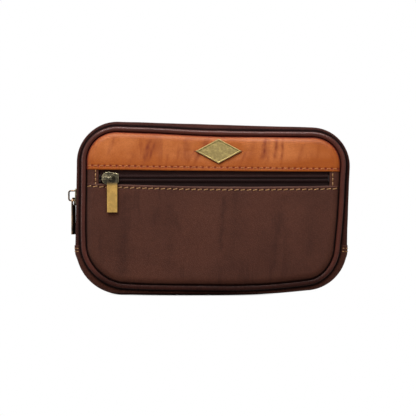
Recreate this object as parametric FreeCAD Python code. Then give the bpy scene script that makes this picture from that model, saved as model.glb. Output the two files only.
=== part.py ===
# Leather waist pack, worn on the wearer's own belt: a two-tone front with a zipped flat pocket, a main compartment
# that a long zip closes round the top and both sides, corded piping on both faces and two belt loops on the back.
#
# Frame: X runs across the pack, -Y is the front face, +Z is up. The origin is on the standing surface, under the
# middle of the pack. All sizes are millimetres.
import FreeCAD, Part

import math
import os

V = FreeCAD.Vector

# ---- driving dimensions -------------------------------------------------------------------------------------------
# silhouette, seen from the front at mid depth: five arcs and the straight lines that touch them
pack_width = 210.2
pack_height = 133.8
radius_bottom_left = 35.5
radius_bottom_right = 34.8
radius_top_right = 28.3
radius_top_left = 33.3
radius_base = 650.0         # the flat base turns up slowly towards the right
top_drop = 4.5              # the right-hand top corner is lower than the left-hand one
base_flat_end = 6.0         # the flat base ends this far to the right of the middle
base_lift = 3.1             # the bottom right corner lifts this far off the surface

# depth
seam_half_depth = 19.0      # from mid depth to each piping centre
gusset_shoulder = 8.0       # the gusset stops being flat this far before the piping's centre
gusset_roll = 7.0           # radius of its roll in to the seam
gusset_roll_angle = 69.0    # degrees of roll before the seam
front_stand = 4.5           # the front leather stands out this far past the piping's centre
back_stand = 2.5            # and the back leather this far

# material thicknesses
leather = 1.4
turned_edge = 1.2           # skived leather folded behind an edge
lining = 0.5
board = 1.0
tape_thickness = 0.6

# piping
piping_inset = 6.6          # the silhouette to the piping's centre
piping_radius = 2.15
piping_wall = 0.8

# clearances
seam_gap = 0.3              # between a rolled edge and its neighbour
layer_gap = 0.2             # between two layers of one wall
slip_gap = 0.05             # between two layers that are sewn together
chain_gap = 1.0             # between the two halves of a zip, where the slider's post runs

# front zip
window_height = 11.0
window_below_top = 38.5     # the top of the pack to the window's upper edge
left_tab_width = 9.3        # the leather tabs that end the window on either side
right_tab_width = 6.1
front_roll = 4.0            # the front leather's rounded edge
back_roll = 3.0             # the back leather's rounded edge

# both zips
coil_half_width = 3.0
coil_height = 1.55
tape_width = 10.4

# main zip
zip_end_height = 38.5       # the bottom gusset's two ends, where the main zip stops
zip_lap = 4.5               # the back tape runs this far under the bottom gusset
zip_slot_half = 5.25        # mid depth to each leather strip's edge beside the main zip

# sliders and pulls
slider_length = 13.0
slider_nose_radius = 4.9
slider_tail_half = 3.6
slider_plate = 1.1
slider_base = 0.9
slider_clear = 0.3
slider_flange = 0.9
slider_post = 0.4
crown_length = 8.8
crown_width = 2.0
crown_thickness = 1.2
crown_window = 4.4
pull_width = 7.8
pull_length = 25.0          # the eye's centre to the tab's end
pull_thickness = 1.3
pull_seat = 0.75            # the pull lies this far off its slider's plate
eye_hole = 2.6
hang_clear = 0.55           # a hanging eye clears the crown's leg by this
front_crown_shift = -2.1    # each crown's middle, from its slider's middle
main_crown_shift = 1.0
nose_clear = 2.3            # the front slider's nose to the window's end
main_slider_rise = 37.2     # the main zip's end to its slider's middle

# badge
badge_x = 5.0
badge_rise = 15.3           # the window's upper edge to the badge's middle
badge_width = 35.5
badge_height = 19.0
badge_thickness = 1.6
badge_rim = 1.1
badge_sink = 0.35
prong_spacing = 14.0
prong_width = 2.5
prong_thickness = 0.6

# pocket behind the front zip
pocket_depth = 5.8

# belt loops
loop_x = 45.0
loop_width = 30.0
loop_bottom = 32.0
loop_pad = 12.0
loop_ramp = 6.0
loop_below_top = 19.8
loop_stand_off = 5.5
loop_thickness = 1.8
rivet_shank = 1.5
rivet_head = 3.6
rivet_head_height = 1.2
rivet_burr = 0.6
rivet_fit = 0.05

# stitches
thread_radius = 0.35
stitch_pitch = 4.2
stitch_length = 3.1
tab_pitch = 3.4
yoke_row_inset = 2.9
pocket_row_inset = 2.2
tab_row_inset = 2.4
tab_stitch = 2.4
zip_row_inset = 2.3         # from a leather strip's edge beside the main zip
gusset_row_insets = (2.5, 5.1)
gusset_pitch = 3.2
gusset_stitch = 2.3

# ---- levels worked out from the above -------------------------------------------------------------------------------
half_width = pack_width / 2
panel_inset = piping_inset + piping_radius + seam_gap
panel_edge_depth = seam_half_depth - 1.5
gusset_flat_half = seam_half_depth - gusset_shoulder
front_face = seam_half_depth + front_stand
back_face = seam_half_depth + back_stand
window_top = pack_height - window_below_top
window_bottom = window_top - window_height
window_left = panel_inset - half_width + left_tab_width
window_right = half_width - panel_inset - right_tab_width
zip_height = (window_top + window_bottom) / 2
badge_z = window_top + badge_rise
loop_top = pack_height - loop_below_top
eye_outer = pull_width / 2
front_slider_x = window_left + nose_clear + slider_length / 2
main_slider_z = zip_end_height + main_slider_rise
front_inner = front_face - leather
tape_front = front_inner - turned_edge - slip_gap
tape_back = tape_front - tape_thickness
pocket_front = tape_back - layer_gap / 2
pocket_back = pocket_front - lining - pocket_depth - lining
board_front = pocket_back - layer_gap
front_lining_face = board_front - board - layer_gap
lining_offset = leather + tape_thickness + layer_gap
burr_face = back_face - leather
back_board_face = burr_face - rivet_burr - layer_gap
back_lining_face = back_board_face - board - layer_gap
slip_pocket_face = back_lining_face - lining - layer_gap

corner_discs = [
    (-half_width + radius_bottom_left, radius_bottom_left, radius_bottom_left),
    (base_flat_end, radius_base, radius_base),
    (half_width - radius_bottom_right, radius_bottom_right + base_lift, radius_bottom_right),
    (half_width - radius_top_right, pack_height - top_drop - radius_top_right, radius_top_right),
    (-half_width + radius_top_left, pack_height - radius_top_left, radius_top_left),
]


# ---- outlines -------------------------------------------------------------------------------------------------------
def outline_path(discs, inset=0.0):
    """The outline round the discs: ("arc", centre, radius, first angle, last angle) and ("line", start, end, normal)."""
    normals = []
    for (ax, az, ar), (bx, bz, br) in zip(discs, discs[1:] + discs[:1]):
        length = math.hypot(bx - ax, bz - az)
        dx, dz = (bx - ax) / length, (bz - az) / length
        along = (ar - br) / length
        across = math.sqrt(1 - along * along)
        normals.append((dx * along + dz * across, dz * along - dx * across))
    path = []
    for i, (cx, cz, r) in enumerate(discs):
        first = math.atan2(normals[i - 1][1], normals[i - 1][0])
        last = math.atan2(normals[i][1], normals[i][0])
        while last < first - 1e-9:
            last += 2 * math.pi
        if last - first > 1e-6:
            path.append(("arc", (cx, cz), r - inset, first, last))
        nx, nz = normals[i]
        ex, ez, er = discs[(i + 1) % len(discs)]
        start = (cx + nx * (r - inset), cz + nz * (r - inset))
        end = (ex + nx * (er - inset), ez + nz * (er - inset))
        path.append(("line", start, end, (nx, nz)))
    return path


def outline_face(discs, inset, place):
    """A flat face with the outline round the discs; place turns its two coordinates into a point."""
    edges = []
    for piece in outline_path(discs, inset):
        if piece[0] == "line":
            edges.append(Part.LineSegment(place(*piece[1]), place(*piece[2])).toShape())
            continue
        _, (cx, cz), r, first, last = piece
        ends = [place(cx + r * math.cos(a), cz + r * math.sin(a)) for a in (first, (first + last) / 2, last)]
        edges.append(Part.Arc(*ends).toShape())
    return Part.Face(Part.Wire(edges))


def slab(inset, y0, y1, discs=corner_discs):
    """The pack's outline, inset, as a solid from depth y0 to depth y1."""
    low, high = min(y0, y1), max(y0, y1)
    return outline_face(discs, inset, lambda x, z: V(x, low, z)).extrude(V(0, high - low, 0))


def box(x0, x1, y0, y1, z0, z1):
    low = V(min(x0, x1), min(y0, y1), min(z0, z1))
    return Part.makeBox(abs(x1 - x0), abs(y1 - y0), abs(z1 - z0), low)


def rolled_slab(inset, y_edge, y_face, roll):
    """A slab whose edge round the face at y_face is rounded."""
    solid = slab(inset, y_edge, y_face)
    rim = [e for e in solid.Edges if all(abs(v.Point.y - y_face) < 1e-6 for v in e.Vertexes)]
    return solid.makeFillet(roll, rim)


# ---- sweeps round the pack ------------------------------------------------------------------------------------------
def upper_path(end_height):
    """The path of the main zip: up the right-hand side, over the top and down the left-hand side to end_height."""
    right, arc_right, top, arc_left, left = outline_path(corner_discs)[-5:]
    right = ("line", (half_width, end_height), right[2], right[3])
    left = ("line", left[1], (-half_width, end_height), left[3])
    return [right, arc_right, top, arc_left, left]


def lower_path():
    """The path of the bottom gusset: from the left-hand end of the zip under the pack to the right-hand end."""
    whole = outline_path(corner_discs)
    left, right = whole[-1], whole[-5]
    left = ("line", (-half_width, zip_end_height), left[2], left[3])
    right = ("line", right[1], (half_width, zip_end_height), right[3])
    return [left] + whole[:-5] + [right]


def sweep(profile, path):
    """Sweeps a profile, given as a function of place(n, y), along a path; n is outwards from the silhouette."""
    solids = []
    for piece in path:
        if piece[0] == "line":
            _, (sx, sz), (ex, ez), (nx, nz) = piece
            face = profile(lambda n, y: V(sx + nx * n, y, sz + nz * n))
            solids.append(face.extrude(V(ex - sx, 0, ez - sz)))
            continue
        _, (cx, cz), r, first, last = piece
        c, s = math.cos(first), math.sin(first)
        face = profile(lambda n, y: V(cx + (r + n) * c, y, cz + (r + n) * s))
        solids.append(face.revolve(V(cx, 0, cz), V(0, -1, 0), math.degrees(last - first)))
    if len(solids) == 1:
        return solids[0]
    return solids[0].multiFuse(solids[1:]).removeSplitter()


def flat_strip(n0, n1, y0, y1):
    """A rectangular profile."""
    def profile(place):
        corners = [place(n0, y0), place(n1, y0), place(n1, y1), place(n0, y1)]
        return Part.Face(Part.makePolygon(corners + corners[:1]))
    return profile


def rolled_strip(y_edge, offset, thickness, side):
    """One side of the gusset: flat from y_edge, then rolling in to the seam. offset is the depth below the surface."""
    def profile(place):
        def on_roll(radius, share):
            a = math.radians(gusset_roll_angle) * share
            return place(-gusset_roll + radius * math.cos(a), side * (gusset_flat_half + radius * math.sin(a)))
        outer, inner = gusset_roll - offset, gusset_roll - offset - thickness
        edges = [
            Part.LineSegment(place(-offset, side * y_edge), on_roll(outer, 0)),
            Part.Arc(on_roll(outer, 0), on_roll(outer, 0.5), on_roll(outer, 1)),
            Part.LineSegment(on_roll(outer, 1), on_roll(inner, 1)),
            Part.Arc(on_roll(inner, 1), on_roll(inner, 0.5), on_roll(inner, 0)),
            Part.LineSegment(on_roll(inner, 0), place(-offset - thickness, side * y_edge)),
            Part.LineSegment(place(-offset - thickness, side * y_edge), place(-offset, side * y_edge)),
        ]
        return Part.Face(Part.Wire([e.toShape() for e in edges]))
    return profile


def whole_gusset(offset, thickness):
    """The bottom gusset's profile, from the front seam to the back seam."""
    def profile(place):
        def on_roll(radius, share, side):
            a = math.radians(gusset_roll_angle) * share
            return place(-gusset_roll + radius * math.cos(a), side * (gusset_flat_half + radius * math.sin(a)))
        outer, inner = gusset_roll - offset, gusset_roll - offset - thickness
        edges = [
            Part.Arc(on_roll(outer, 1, -1), on_roll(outer, 0.5, -1), on_roll(outer, 0, -1)),
            Part.LineSegment(on_roll(outer, 0, -1), on_roll(outer, 0, 1)),
            Part.Arc(on_roll(outer, 0, 1), on_roll(outer, 0.5, 1), on_roll(outer, 1, 1)),
            Part.LineSegment(on_roll(outer, 1, 1), on_roll(inner, 1, 1)),
            Part.Arc(on_roll(inner, 1, 1), on_roll(inner, 0.5, 1), on_roll(inner, 0, 1)),
            Part.LineSegment(on_roll(inner, 0, 1), on_roll(inner, 0, -1)),
            Part.Arc(on_roll(inner, 0, -1), on_roll(inner, 0.5, -1), on_roll(inner, 1, -1)),
            Part.LineSegment(on_roll(inner, 1, -1), on_roll(outer, 1, -1)),
        ]
        return Part.Face(Part.Wire([e.toShape() for e in edges]))
    return profile


def ring_profile(y, radius, hole=0.0):
    """A round profile, or a tube's, on the piping's centre line."""
    def profile(place):
        centre = place(-piping_inset, y)
        normal = (place(1, y) - place(0, y)).cross(V(0, 1, 0))
        face = Part.Face(Part.Wire(Part.Circle(centre, normal, radius).toShape()))
        if hole:
            face = face.cut(Part.Face(Part.Wire(Part.Circle(centre, normal, hole).toShape())))
            face = face.Faces[0]
        return face
    return profile


# ---- leather ----------------------------------------------------------------------------------------------------------
def front_leather():
    """The front's leather: yoke, pocket panel and the two tabs that end the zip, cut from one rolled shell."""
    shell = rolled_slab(panel_inset, -panel_edge_depth, -front_face, front_roll).cut(
        rolled_slab(panel_inset + leather, -panel_edge_depth + 1, -front_inner, front_roll - leather))
    hem_half = half_width - panel_inset - front_roll
    hem = 8.0
    above = box(-half_width, half_width, -30, 0, window_top, pack_height)
    below = box(-half_width, half_width, -30, 0, 0, window_bottom)
    yoke = shell.common(above).fuse(
        box(-hem_half, hem_half, -front_inner, -tape_front, window_top, window_top + hem)).removeSplitter()
    panel = shell.common(below).fuse(
        box(-hem_half, hem_half, -front_inner, -tape_front, window_bottom - hem, window_bottom)).removeSplitter()
    tabs = []
    for outer, edge, far in ((-half_width, window_left, -hem_half), (half_width, window_right, hem_half)):
        tab = shell.common(box(outer, edge, -30, 0, window_bottom, window_top))
        fold = box(far, edge, -front_inner, -tape_front, window_bottom, window_top)
        tabs.append(tab.fuse(fold).removeSplitter())
    slots = [box(x - prong_thickness, x + prong_thickness, -30, 0, badge_z - prong_width / 2 - layer_gap,
                 badge_z + prong_width / 2 + layer_gap) for x in prong_places()]
    return yoke.cut(slots[0].fuse(slots[1])), panel, tabs[0], tabs[1]


def back_leather():
    """The back's leather, with a hole for each belt-loop rivet."""
    shell = rolled_slab(panel_inset, panel_edge_depth, back_face, back_roll).cut(
        rolled_slab(panel_inset + leather, panel_edge_depth - 1, burr_face, back_roll - leather))
    for x, z in rivet_places():
        shell = shell.cut(Part.makeCylinder(rivet_shank + rivet_fit, 20, V(x, back_face - 10, z), V(0, 1, 0)))
    return shell


def belt_loop(x_middle):
    """A strap sewn and riveted to the back at both ends, standing off it between them so that a belt passes."""
    z0, z1, z2 = loop_bottom, loop_bottom + loop_pad, loop_bottom + loop_pad + loop_ramp
    z5, z4, z3 = loop_top, loop_top - loop_pad, loop_top - loop_pad - loop_ramp
    y0, y1 = back_face, back_face + loop_stand_off
    skew = loop_thickness * loop_ramp / loop_stand_off / 2
    inner = [(y0, z0), (y0, z1), (y1, z2), (y1, z3), (y0, z4), (y0, z5)]
    outer = [(y0, z5), (y0, z4 + skew), (y1, z3 + skew), (y1, z2 - skew), (y0, z1 - skew), (y0, z0)]
    ring = inner + [(y + loop_thickness, z) for y, z in outer]
    points = [V(x_middle - loop_width / 2, y, z) for y, z in ring]
    strap = Part.Face(Part.makePolygon(points + points[:1])).extrude(V(loop_width, 0, 0))
    for x, z in rivet_places():
        if abs(x - x_middle) < loop_width / 2:
            strap = strap.cut(Part.makeCylinder(rivet_shank + rivet_fit, 20, V(x, back_face - 10, z), V(0, 1, 0)))
    return strap


def rivet_places():
    return [(x, z) for x in (-loop_x, loop_x) for z in (loop_bottom + loop_pad / 2, loop_top - loop_pad / 2)]


def rivets():
    """Cap rivets: a domed head outside, a shank through loop and back, and a burr inside."""
    solids = []
    for x, z in rivet_places():
        outside = back_face + loop_thickness
        shank = Part.makeCylinder(rivet_shank, outside - burr_face + rivet_burr, V(x, burr_face - rivet_burr, z),
                                  V(0, 1, 0))
        head = Part.makeCylinder(rivet_head, rivet_head_height, V(x, outside, z), V(0, 1, 0))
        crown_edge = [e for e in head.Edges if e.Closed and abs(e.CenterOfMass.y - outside - rivet_head_height) < 1e-6]
        burr = Part.makeCylinder(rivet_head - 0.4, rivet_burr, V(x, burr_face - rivet_burr, z), V(0, 1, 0))
        solids.append(head.makeFillet(rivet_head_height * 0.8, crown_edge).fuse([shank, burr]).removeSplitter())
    return Part.makeCompound(solids)


# ---- badge ------------------------------------------------------------------------------------------------------------
def prong_places():
    return [badge_x - prong_spacing / 2, badge_x + prong_spacing / 2]


def diamond(width, height, y0, y1):
    points = [V(badge_x - width / 2, y0, badge_z), V(badge_x, y0, badge_z - height / 2),
              V(badge_x + width / 2, y0, badge_z), V(badge_x, y0, badge_z + height / 2)]
    return Part.Face(Part.makePolygon(points + points[:1])).extrude(V(0, y1 - y0, 0))


def badge():
    """A bare diamond plate with a raised rim, and the two prongs that hold it."""
    share = 1 - 2 * badge_rim / badge_height * math.hypot(1, badge_height / badge_width)
    face = -front_face - badge_thickness
    plate = diamond(badge_width, badge_height, face, -front_face).cut(
        diamond(badge_width * share, badge_height * share, face, face + badge_sink))
    prongs = [box(x - prong_thickness / 2, x + prong_thickness / 2, -front_face, -front_inner + 0.8,
                  badge_z - prong_width / 2, badge_z + prong_width / 2) for x in prong_places()]
    return plate.fuse(prongs).removeSplitter()


def badge_backing():
    """The thin plate behind the yoke that the prongs pass through."""
    plate = box(badge_x - prong_spacing / 2 - 3, badge_x + prong_spacing / 2 + 3, -front_inner + slip_gap,
                -front_inner + slip_gap + 0.5, badge_z - 3, badge_z + 3)
    for x in prong_places():
        plate = plate.cut(box(x - prong_thickness / 2 - slip_gap, x + prong_thickness / 2 + slip_gap, -30, 0,
                              badge_z - prong_width / 2 - slip_gap, badge_z + prong_width / 2 + slip_gap))
    return plate


# ---- zips -------------------------------------------------------------------------------------------------------------
def front_zip():
    """The front zip's tapes, coils and end stops, as name to solid."""
    made = {}
    tape_end = half_width - panel_inset - front_roll + 0.2
    for name, side in (("upper", 1), ("lower", -1)):
        inner = zip_height + side * chain_gap / 2
        made["front_zip_tape_" + name] = box(-tape_end, tape_end, -tape_front, -tape_back, inner,
                                             inner + side * tape_width)
        made["front_zip_coil_" + name] = box(window_left + 1.5, window_right - 1.1, -tape_front - coil_height,
                                             -tape_front, inner, zip_height + side * coil_half_width)
    stops = [box(window_left + 0.1, window_left + 1.3, -tape_front - coil_height, -tape_front,
                 zip_height + side * 0.5, zip_height + side * 2.9) for side in (1, -1)]
    stops.append(box(window_right - 1.0, window_right - 0.1, -tape_front - coil_height, -tape_front,
                     zip_height - 2.5, zip_height + 2.5))
    made["front_zip_stops"] = Part.makeCompound(stops)
    return made


def main_zip():
    """The main zip's tapes and coils. The front half ends above the bottom gusset, so that the front can swing away."""
    made = {}
    tape_top = -leather - slip_gap
    for name, side, end in (("front", -1, zip_end_height + seam_gap), ("back", 1, zip_end_height - zip_lap)):
        made["main_zip_tape_" + name] = sweep(
            flat_strip(tape_top - tape_thickness, tape_top, side * chain_gap / 2, side * (chain_gap / 2 + tape_width)),
            upper_path(end))
        made["main_zip_coil_" + name] = sweep(
            flat_strip(tape_top, tape_top + coil_height, side * chain_gap / 2, side * coil_half_width),
            upper_path(zip_end_height + seam_gap))
    return made


# Slider frame: X is the way it travels, with the nose at -X, Y is across the chain and Z is away from the tape's
# outer face, which is at Z 0.
slider_discs = [
    (-slider_length / 2 + slider_nose_radius, 0.0, slider_nose_radius),
    (slider_length / 2 - 1.2, -slider_tail_half + 1.2, 1.2),
    (slider_length / 2 - 1.2, slider_tail_half - 1.2, 1.2),
]
plate_under = coil_height + slider_clear
plate_top = plate_under + slider_plate


def slider_plate_solid(z0, z1, inset=0.0):
    return outline_face(slider_discs, inset, lambda x, y: V(x, y, z0)).extrude(V(0, 0, z1 - z0))


def slider_body(open_front):
    """Two plates joined by a thin post, with flanges that hold the coils. open_front leaves one flange off."""
    base_top = -tape_thickness - slider_clear
    top = slider_plate_solid(plate_under, plate_top)
    base = slider_plate_solid(base_top - slider_base, base_top)
    wall = slider_plate_solid(0.3, plate_under).cut(slider_plate_solid(0.3, plate_under, slider_flange))
    chain = coil_half_width + slider_clear
    wall = wall.cut(box(-slider_length, slider_length, -2 * slider_length if open_front else -chain, chain, 0, 9))
    post = box(-slider_length / 2 + 1.5, -slider_length / 2 + 5, -slider_post / 2, slider_post / 2, base_top,
               plate_under)
    return top.fuse([base, post] + wall.Solids).removeSplitter()


def slider_crown(middle):
    """The arch over the slider that the pull's eye hooks round."""
    height = crown_window + crown_thickness
    inner_length = crown_length - 2 * crown_thickness
    outer = Part.makeBox(crown_length, crown_width, height, V(middle - crown_length / 2, -crown_width / 2, plate_top))
    inner = Part.makeBox(inner_length, crown_width + 2, crown_window,
                         V(middle - inner_length / 2, -crown_width / 2 - 1, plate_top))

    def shoulders(solid, level):
        return [e for e in solid.Edges if all(abs(v.Point.z - level) < 1e-6 for v in e.Vertexes)
                and abs(e.Vertexes[0].Point.x - e.Vertexes[1].Point.x) < 1e-6]
    outer = outer.makeFillet(2.1, shoulders(outer, plate_top + height))
    inner = inner.makeFillet(0.9, shoulders(inner, plate_top + crown_window))
    return outer.cut(inner)


def pull(turn, eye_x, eye_y):
    """A flat tab with a round eye. It hangs along -Y of the slider frame, turned by so many degrees."""
    solid = Part.makeBox(pull_width, pull_length, pull_thickness, V(-pull_width / 2, -pull_length, 0))
    solid = solid.fuse(Part.makeCylinder(eye_outer, pull_thickness))
    solid = solid.cut(Part.makeCylinder(eye_hole, pull_thickness)).removeSplitter()
    solid.rotate(V(0, 0, 0), V(0, 0, 1), turn)
    solid.translate(V(eye_x, eye_y, plate_top + pull_seat))
    return solid


def placed(solid, columns, origin):
    """Moves a solid from the slider frame to the pack; columns are where the frame's X, Y and Z point."""
    (a, b, c), (d, e, f), (g, h, i) = columns
    matrix = FreeCAD.Matrix(a, d, g, origin[0], b, e, h, origin[1], c, f, i, origin[2], 0, 0, 0, 1)
    moved = solid.copy()
    moved.Placement = FreeCAD.Placement(matrix).multiply(moved.Placement)
    return moved


def sliders():
    """Both sliders, their crowns and their pulls, where they stand at rest."""
    front_frame = ((1, 0, 0), (0, 0, 1), (0, -1, 0))
    front_origin = (front_slider_x, -tape_front, zip_height)
    main_frame = ((0, 0, 1), (0, 1, 0), (-1, 0, 0))
    main_origin = (-half_width + leather + slip_gap, 0, main_slider_z)
    side_leg = front_crown_shift + (crown_length - crown_thickness) / 2
    side_hang = crown_width / 2 + hang_clear - eye_hole
    low_hang = main_crown_shift - crown_length / 2 + crown_thickness + hang_clear - eye_hole
    return {
        "front_slider_body": placed(slider_body(False), front_frame, front_origin),
        "front_slider_crown": placed(slider_crown(front_crown_shift), front_frame, front_origin),
        "front_zip_pull": placed(pull(0, side_leg, side_hang), front_frame, front_origin),
        "main_slider_body": placed(slider_body(True), main_frame, main_origin),
        "main_slider_crown": placed(slider_crown(main_crown_shift), main_frame, main_origin),
        "main_zip_pull": placed(pull(-90, low_hang, 0), main_frame, main_origin),
    }


# ---- inside -----------------------------------------------------------------------------------------------------------
def pocket_bag():
    """The fabric bag behind the front zip, open towards the zip."""
    inset = panel_inset + leather + 0.55
    top = zip_height + tape_width + 0.5
    under = box(-half_width, half_width, -30, 0, 0, top)
    outer = slab(inset, -pocket_front, -pocket_back).common(under)
    inner = slab(inset + lining, -pocket_front + lining, -pocket_back - lining).common(
        box(-half_width, half_width, -30, 0, 0, top - lining))
    mouth = box(window_left - 4, window_right + 1, -30, -pocket_front + lining, zip_height - 9.5, zip_height + 9.5)
    return outer.cut(inner).cut(mouth)


def front_lining():
    """The lining behind the pocket: narrow where it has to swing clear of the bottom gusset, wide above its ends."""
    deep = -front_lining_face
    narrow = slab(gusset_roll + 1.5, deep, deep + lining)
    wide = slab(lining_offset + lining + seam_gap, deep, deep + lining).common(
        box(-half_width, half_width, -30, 0, zip_end_height + 1.5, pack_height))
    return narrow.fuse(wide).removeSplitter()


def slip_pocket():
    """A flat open-topped pocket sewn to the back lining."""
    return slab(panel_inset + leather + 3, slip_pocket_face - 0.4, slip_pocket_face).common(
        box(-half_width, half_width, 0, 30, 0, 78))


# ---- stitches ---------------------------------------------------------------------------------------------------------
def stitch(middle, along, length):
    return Part.makeCylinder(thread_radius, length, middle - along * (length / 2), along)


def row(start, end, pitch, length):
    """Stitches along a straight line from start to end."""
    span = (end - start).Length
    count = int(span // pitch)
    along = (end - start).normalize()
    first = (span - (count - 1) * pitch) / 2
    return [stitch(start + along * (first + i * pitch), along, length) for i in range(count)]


def path_row(path, outwards, y, pitch, length):
    """Stitches along a path round the pack, at depth y and so far out from the silhouette."""
    stitches = []
    start = pitch / 2
    for piece in path:
        distance = start
        if piece[0] == "line":
            _, (sx, sz), (ex, ez), (nx, nz) = piece
            run = math.hypot(ex - sx, ez - sz)
            while distance < run:
                point = V(sx - nz * distance + nx * outwards, y, sz + nx * distance + nz * outwards)
                stitches.append(stitch(point, V(-nz, 0, nx), length))
                distance += pitch
        else:
            _, (cx, cz), r, first, last = piece
            run = r * (last - first)
            while distance < run:
                c, s = math.cos(first + distance / r), math.sin(first + distance / r)
                point = V(cx + (r + outwards) * c, y, cz + (r + outwards) * s)
                stitches.append(stitch(point, V(-s, 0, c), length))
                distance += pitch
        start = distance - run
    return stitches


def across_row(side, z, lift):
    """Stitches across one end of the bottom gusset, over its flat and both rolls."""
    reach = gusset_flat_half + gusset_roll * math.radians(gusset_roll_angle) - gusset_stitch
    count = int(2 * reach // gusset_pitch) + 1
    stitches = []
    for i in range(count):
        across = (i - (count - 1) / 2) * gusset_pitch
        way = math.copysign(1, across)
        a = max(abs(across) - gusset_flat_half, 0) / gusset_roll
        c, s = math.cos(a), math.sin(a)
        out = half_width - gusset_roll + (gusset_roll + lift) * c
        y = way * (min(abs(across), gusset_flat_half) + (gusset_roll + lift) * s)
        stitches.append(stitch(V(side * out, y, z), V(-side * s * way, c, 0), gusset_stitch))
    return stitches


def stitching():
    lift = thread_radius + 0.01
    y = -front_face - lift
    edge = half_width - panel_inset - front_roll
    yoke_z = window_top + yoke_row_inset
    pocket_z = window_bottom - pocket_row_inset
    rows = {
        "yoke_stitching": row(V(-edge, y, yoke_z), V(edge, y, yoke_z), stitch_pitch, stitch_length),
        "pocket_stitching": row(V(-edge, y, pocket_z), V(edge, y, pocket_z), stitch_pitch, stitch_length),
        "tab_stitching": [],
        "gusset_end_stitching": [],
    }
    for x in (window_left - tab_row_inset, window_right + tab_row_inset):
        rows["tab_stitching"] += row(V(x, y, window_bottom), V(x, y, window_top), tab_pitch, tab_stitch)
    for side in (-1, 1):
        for inset in gusset_row_insets:
            rows["gusset_end_stitching"] += across_row(side, zip_end_height - inset, lift)
    for name, side in (("front", -1), ("back", 1)):
        rows["zip_edge_stitching_" + name] = path_row(upper_path(zip_end_height + seam_gap), lift,
                                                      side * (zip_slot_half + zip_row_inset), stitch_pitch,
                                                      stitch_length)
    return {name: Part.makeCompound(solids) for name, solids in rows.items()}


# ---- the whole pack ---------------------------------------------------------------------------------------------------
def build():
    yoke, panel, tab_left, tab_right = front_leather()
    made = {
        "front_yoke": yoke,
        "front_pocket_panel": panel,
        "zip_tab_left": tab_left,
        "zip_tab_right": tab_right,
        "badge": badge(),
        "badge_backing": badge_backing(),
        "front_pocket_bag": pocket_bag(),
        "front_board": slab(panel_inset + leather + 1, -board_front, -board_front + board),
        "front_lining": front_lining(),
        "back_panel": back_leather(),
        "back_board": slab(panel_inset + leather + 0.6, back_board_face - board, back_board_face),
        "back_lining": slab(panel_inset + leather + 0.6, back_lining_face - lining, back_lining_face),
        "inner_slip_pocket": slip_pocket(),
        "belt_loop_left": belt_loop(-loop_x),
        "belt_loop_right": belt_loop(loop_x),
        "belt_loop_rivets": rivets(),
        "bottom_gusset": sweep(whole_gusset(0.0, leather), lower_path()),
        "bottom_gusset_lining": sweep(whole_gusset(lining_offset, lining), lower_path()),
    }
    whole = outline_path(corner_discs)
    for name, side in (("front", -1), ("back", 1)):
        y = side * seam_half_depth
        hole = piping_radius - piping_wall
        made[name + "_piping_cover"] = sweep(ring_profile(y, piping_radius, hole), whole)
        made[name + "_piping_cord"] = sweep(ring_profile(y, hole - 0.15), whole)
        made["gusset_strip_" + name] = sweep(rolled_strip(zip_slot_half, 0.0, leather, side),
                                             upper_path(zip_end_height + seam_gap))
        made["gusset_lining_" + name] = sweep(rolled_strip(zip_slot_half + 0.6, lining_offset, lining, side),
                                              upper_path(zip_end_height + seam_gap))
    made.update(front_zip())
    made.update(main_zip())
    made.update(sliders())
    made.update(stitching())
    return made


os.makedirs("parts", exist_ok=True)
for node, shape in build().items():
    shape.exportStep("parts/" + node + ".step")
    bounds = shape.BoundBox
    print(f"{node:24s} solids {len(shape.Solids):3d}  volume {shape.Volume:9.1f}  valid {shape.isValid()}  "
          f"x {bounds.XMin:7.1f} {bounds.XMax:7.1f}  y {bounds.YMin:6.1f} {bounds.YMax:6.1f}  "
          f"z {bounds.ZMin:6.1f} {bounds.ZMax:6.1f}")
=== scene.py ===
# %% [markdown]
# # A leather waist pack
# The pack is a flat pouch that rides on the wearer's own belt. Its front is two leathers, a tan yoke over a
# dark brown pocket panel, with a short zip between them. A corded piping frames the front and the back, and
# between the two runs a gusset that a long zip splits. The engineering model gives every piece a body, a
# place and a size; this file gives each one its skin: leather that rolls and puckers, ribbed zips, worn
# brass and waxed thread.
#
# The first cell loads that model, and a helper reads the box of any of its pieces.

# %% Load the engineering model
import math

import bpy
import numpy as np
from mathutils import Matrix, Vector, noise


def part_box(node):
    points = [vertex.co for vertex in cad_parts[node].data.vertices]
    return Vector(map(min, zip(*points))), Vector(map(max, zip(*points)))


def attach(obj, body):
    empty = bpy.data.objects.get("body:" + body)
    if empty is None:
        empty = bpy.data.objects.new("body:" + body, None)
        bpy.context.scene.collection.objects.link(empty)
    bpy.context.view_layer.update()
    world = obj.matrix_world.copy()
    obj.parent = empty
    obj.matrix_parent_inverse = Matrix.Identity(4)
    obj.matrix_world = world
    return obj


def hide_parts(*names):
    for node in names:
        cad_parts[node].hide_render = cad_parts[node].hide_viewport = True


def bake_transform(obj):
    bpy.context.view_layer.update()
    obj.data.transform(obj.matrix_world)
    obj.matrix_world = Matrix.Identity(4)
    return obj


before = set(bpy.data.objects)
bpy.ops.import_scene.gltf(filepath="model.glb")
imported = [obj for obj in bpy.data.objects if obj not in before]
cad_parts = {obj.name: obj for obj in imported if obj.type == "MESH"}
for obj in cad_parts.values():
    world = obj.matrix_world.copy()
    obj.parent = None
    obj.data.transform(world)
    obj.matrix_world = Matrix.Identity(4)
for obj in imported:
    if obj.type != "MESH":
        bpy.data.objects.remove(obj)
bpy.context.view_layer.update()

mm = 0.001

# %% [markdown]
# ## The sizes everything hangs on
# A pattern cutter works from one outline and a few seam allowances. The same is done here: the outline's
# size, the piping's place and the panels' edges are read from the model's own pieces, and only the corners'
# radii and how far each one spreads or leans in, which no box can show, are written down.

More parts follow.
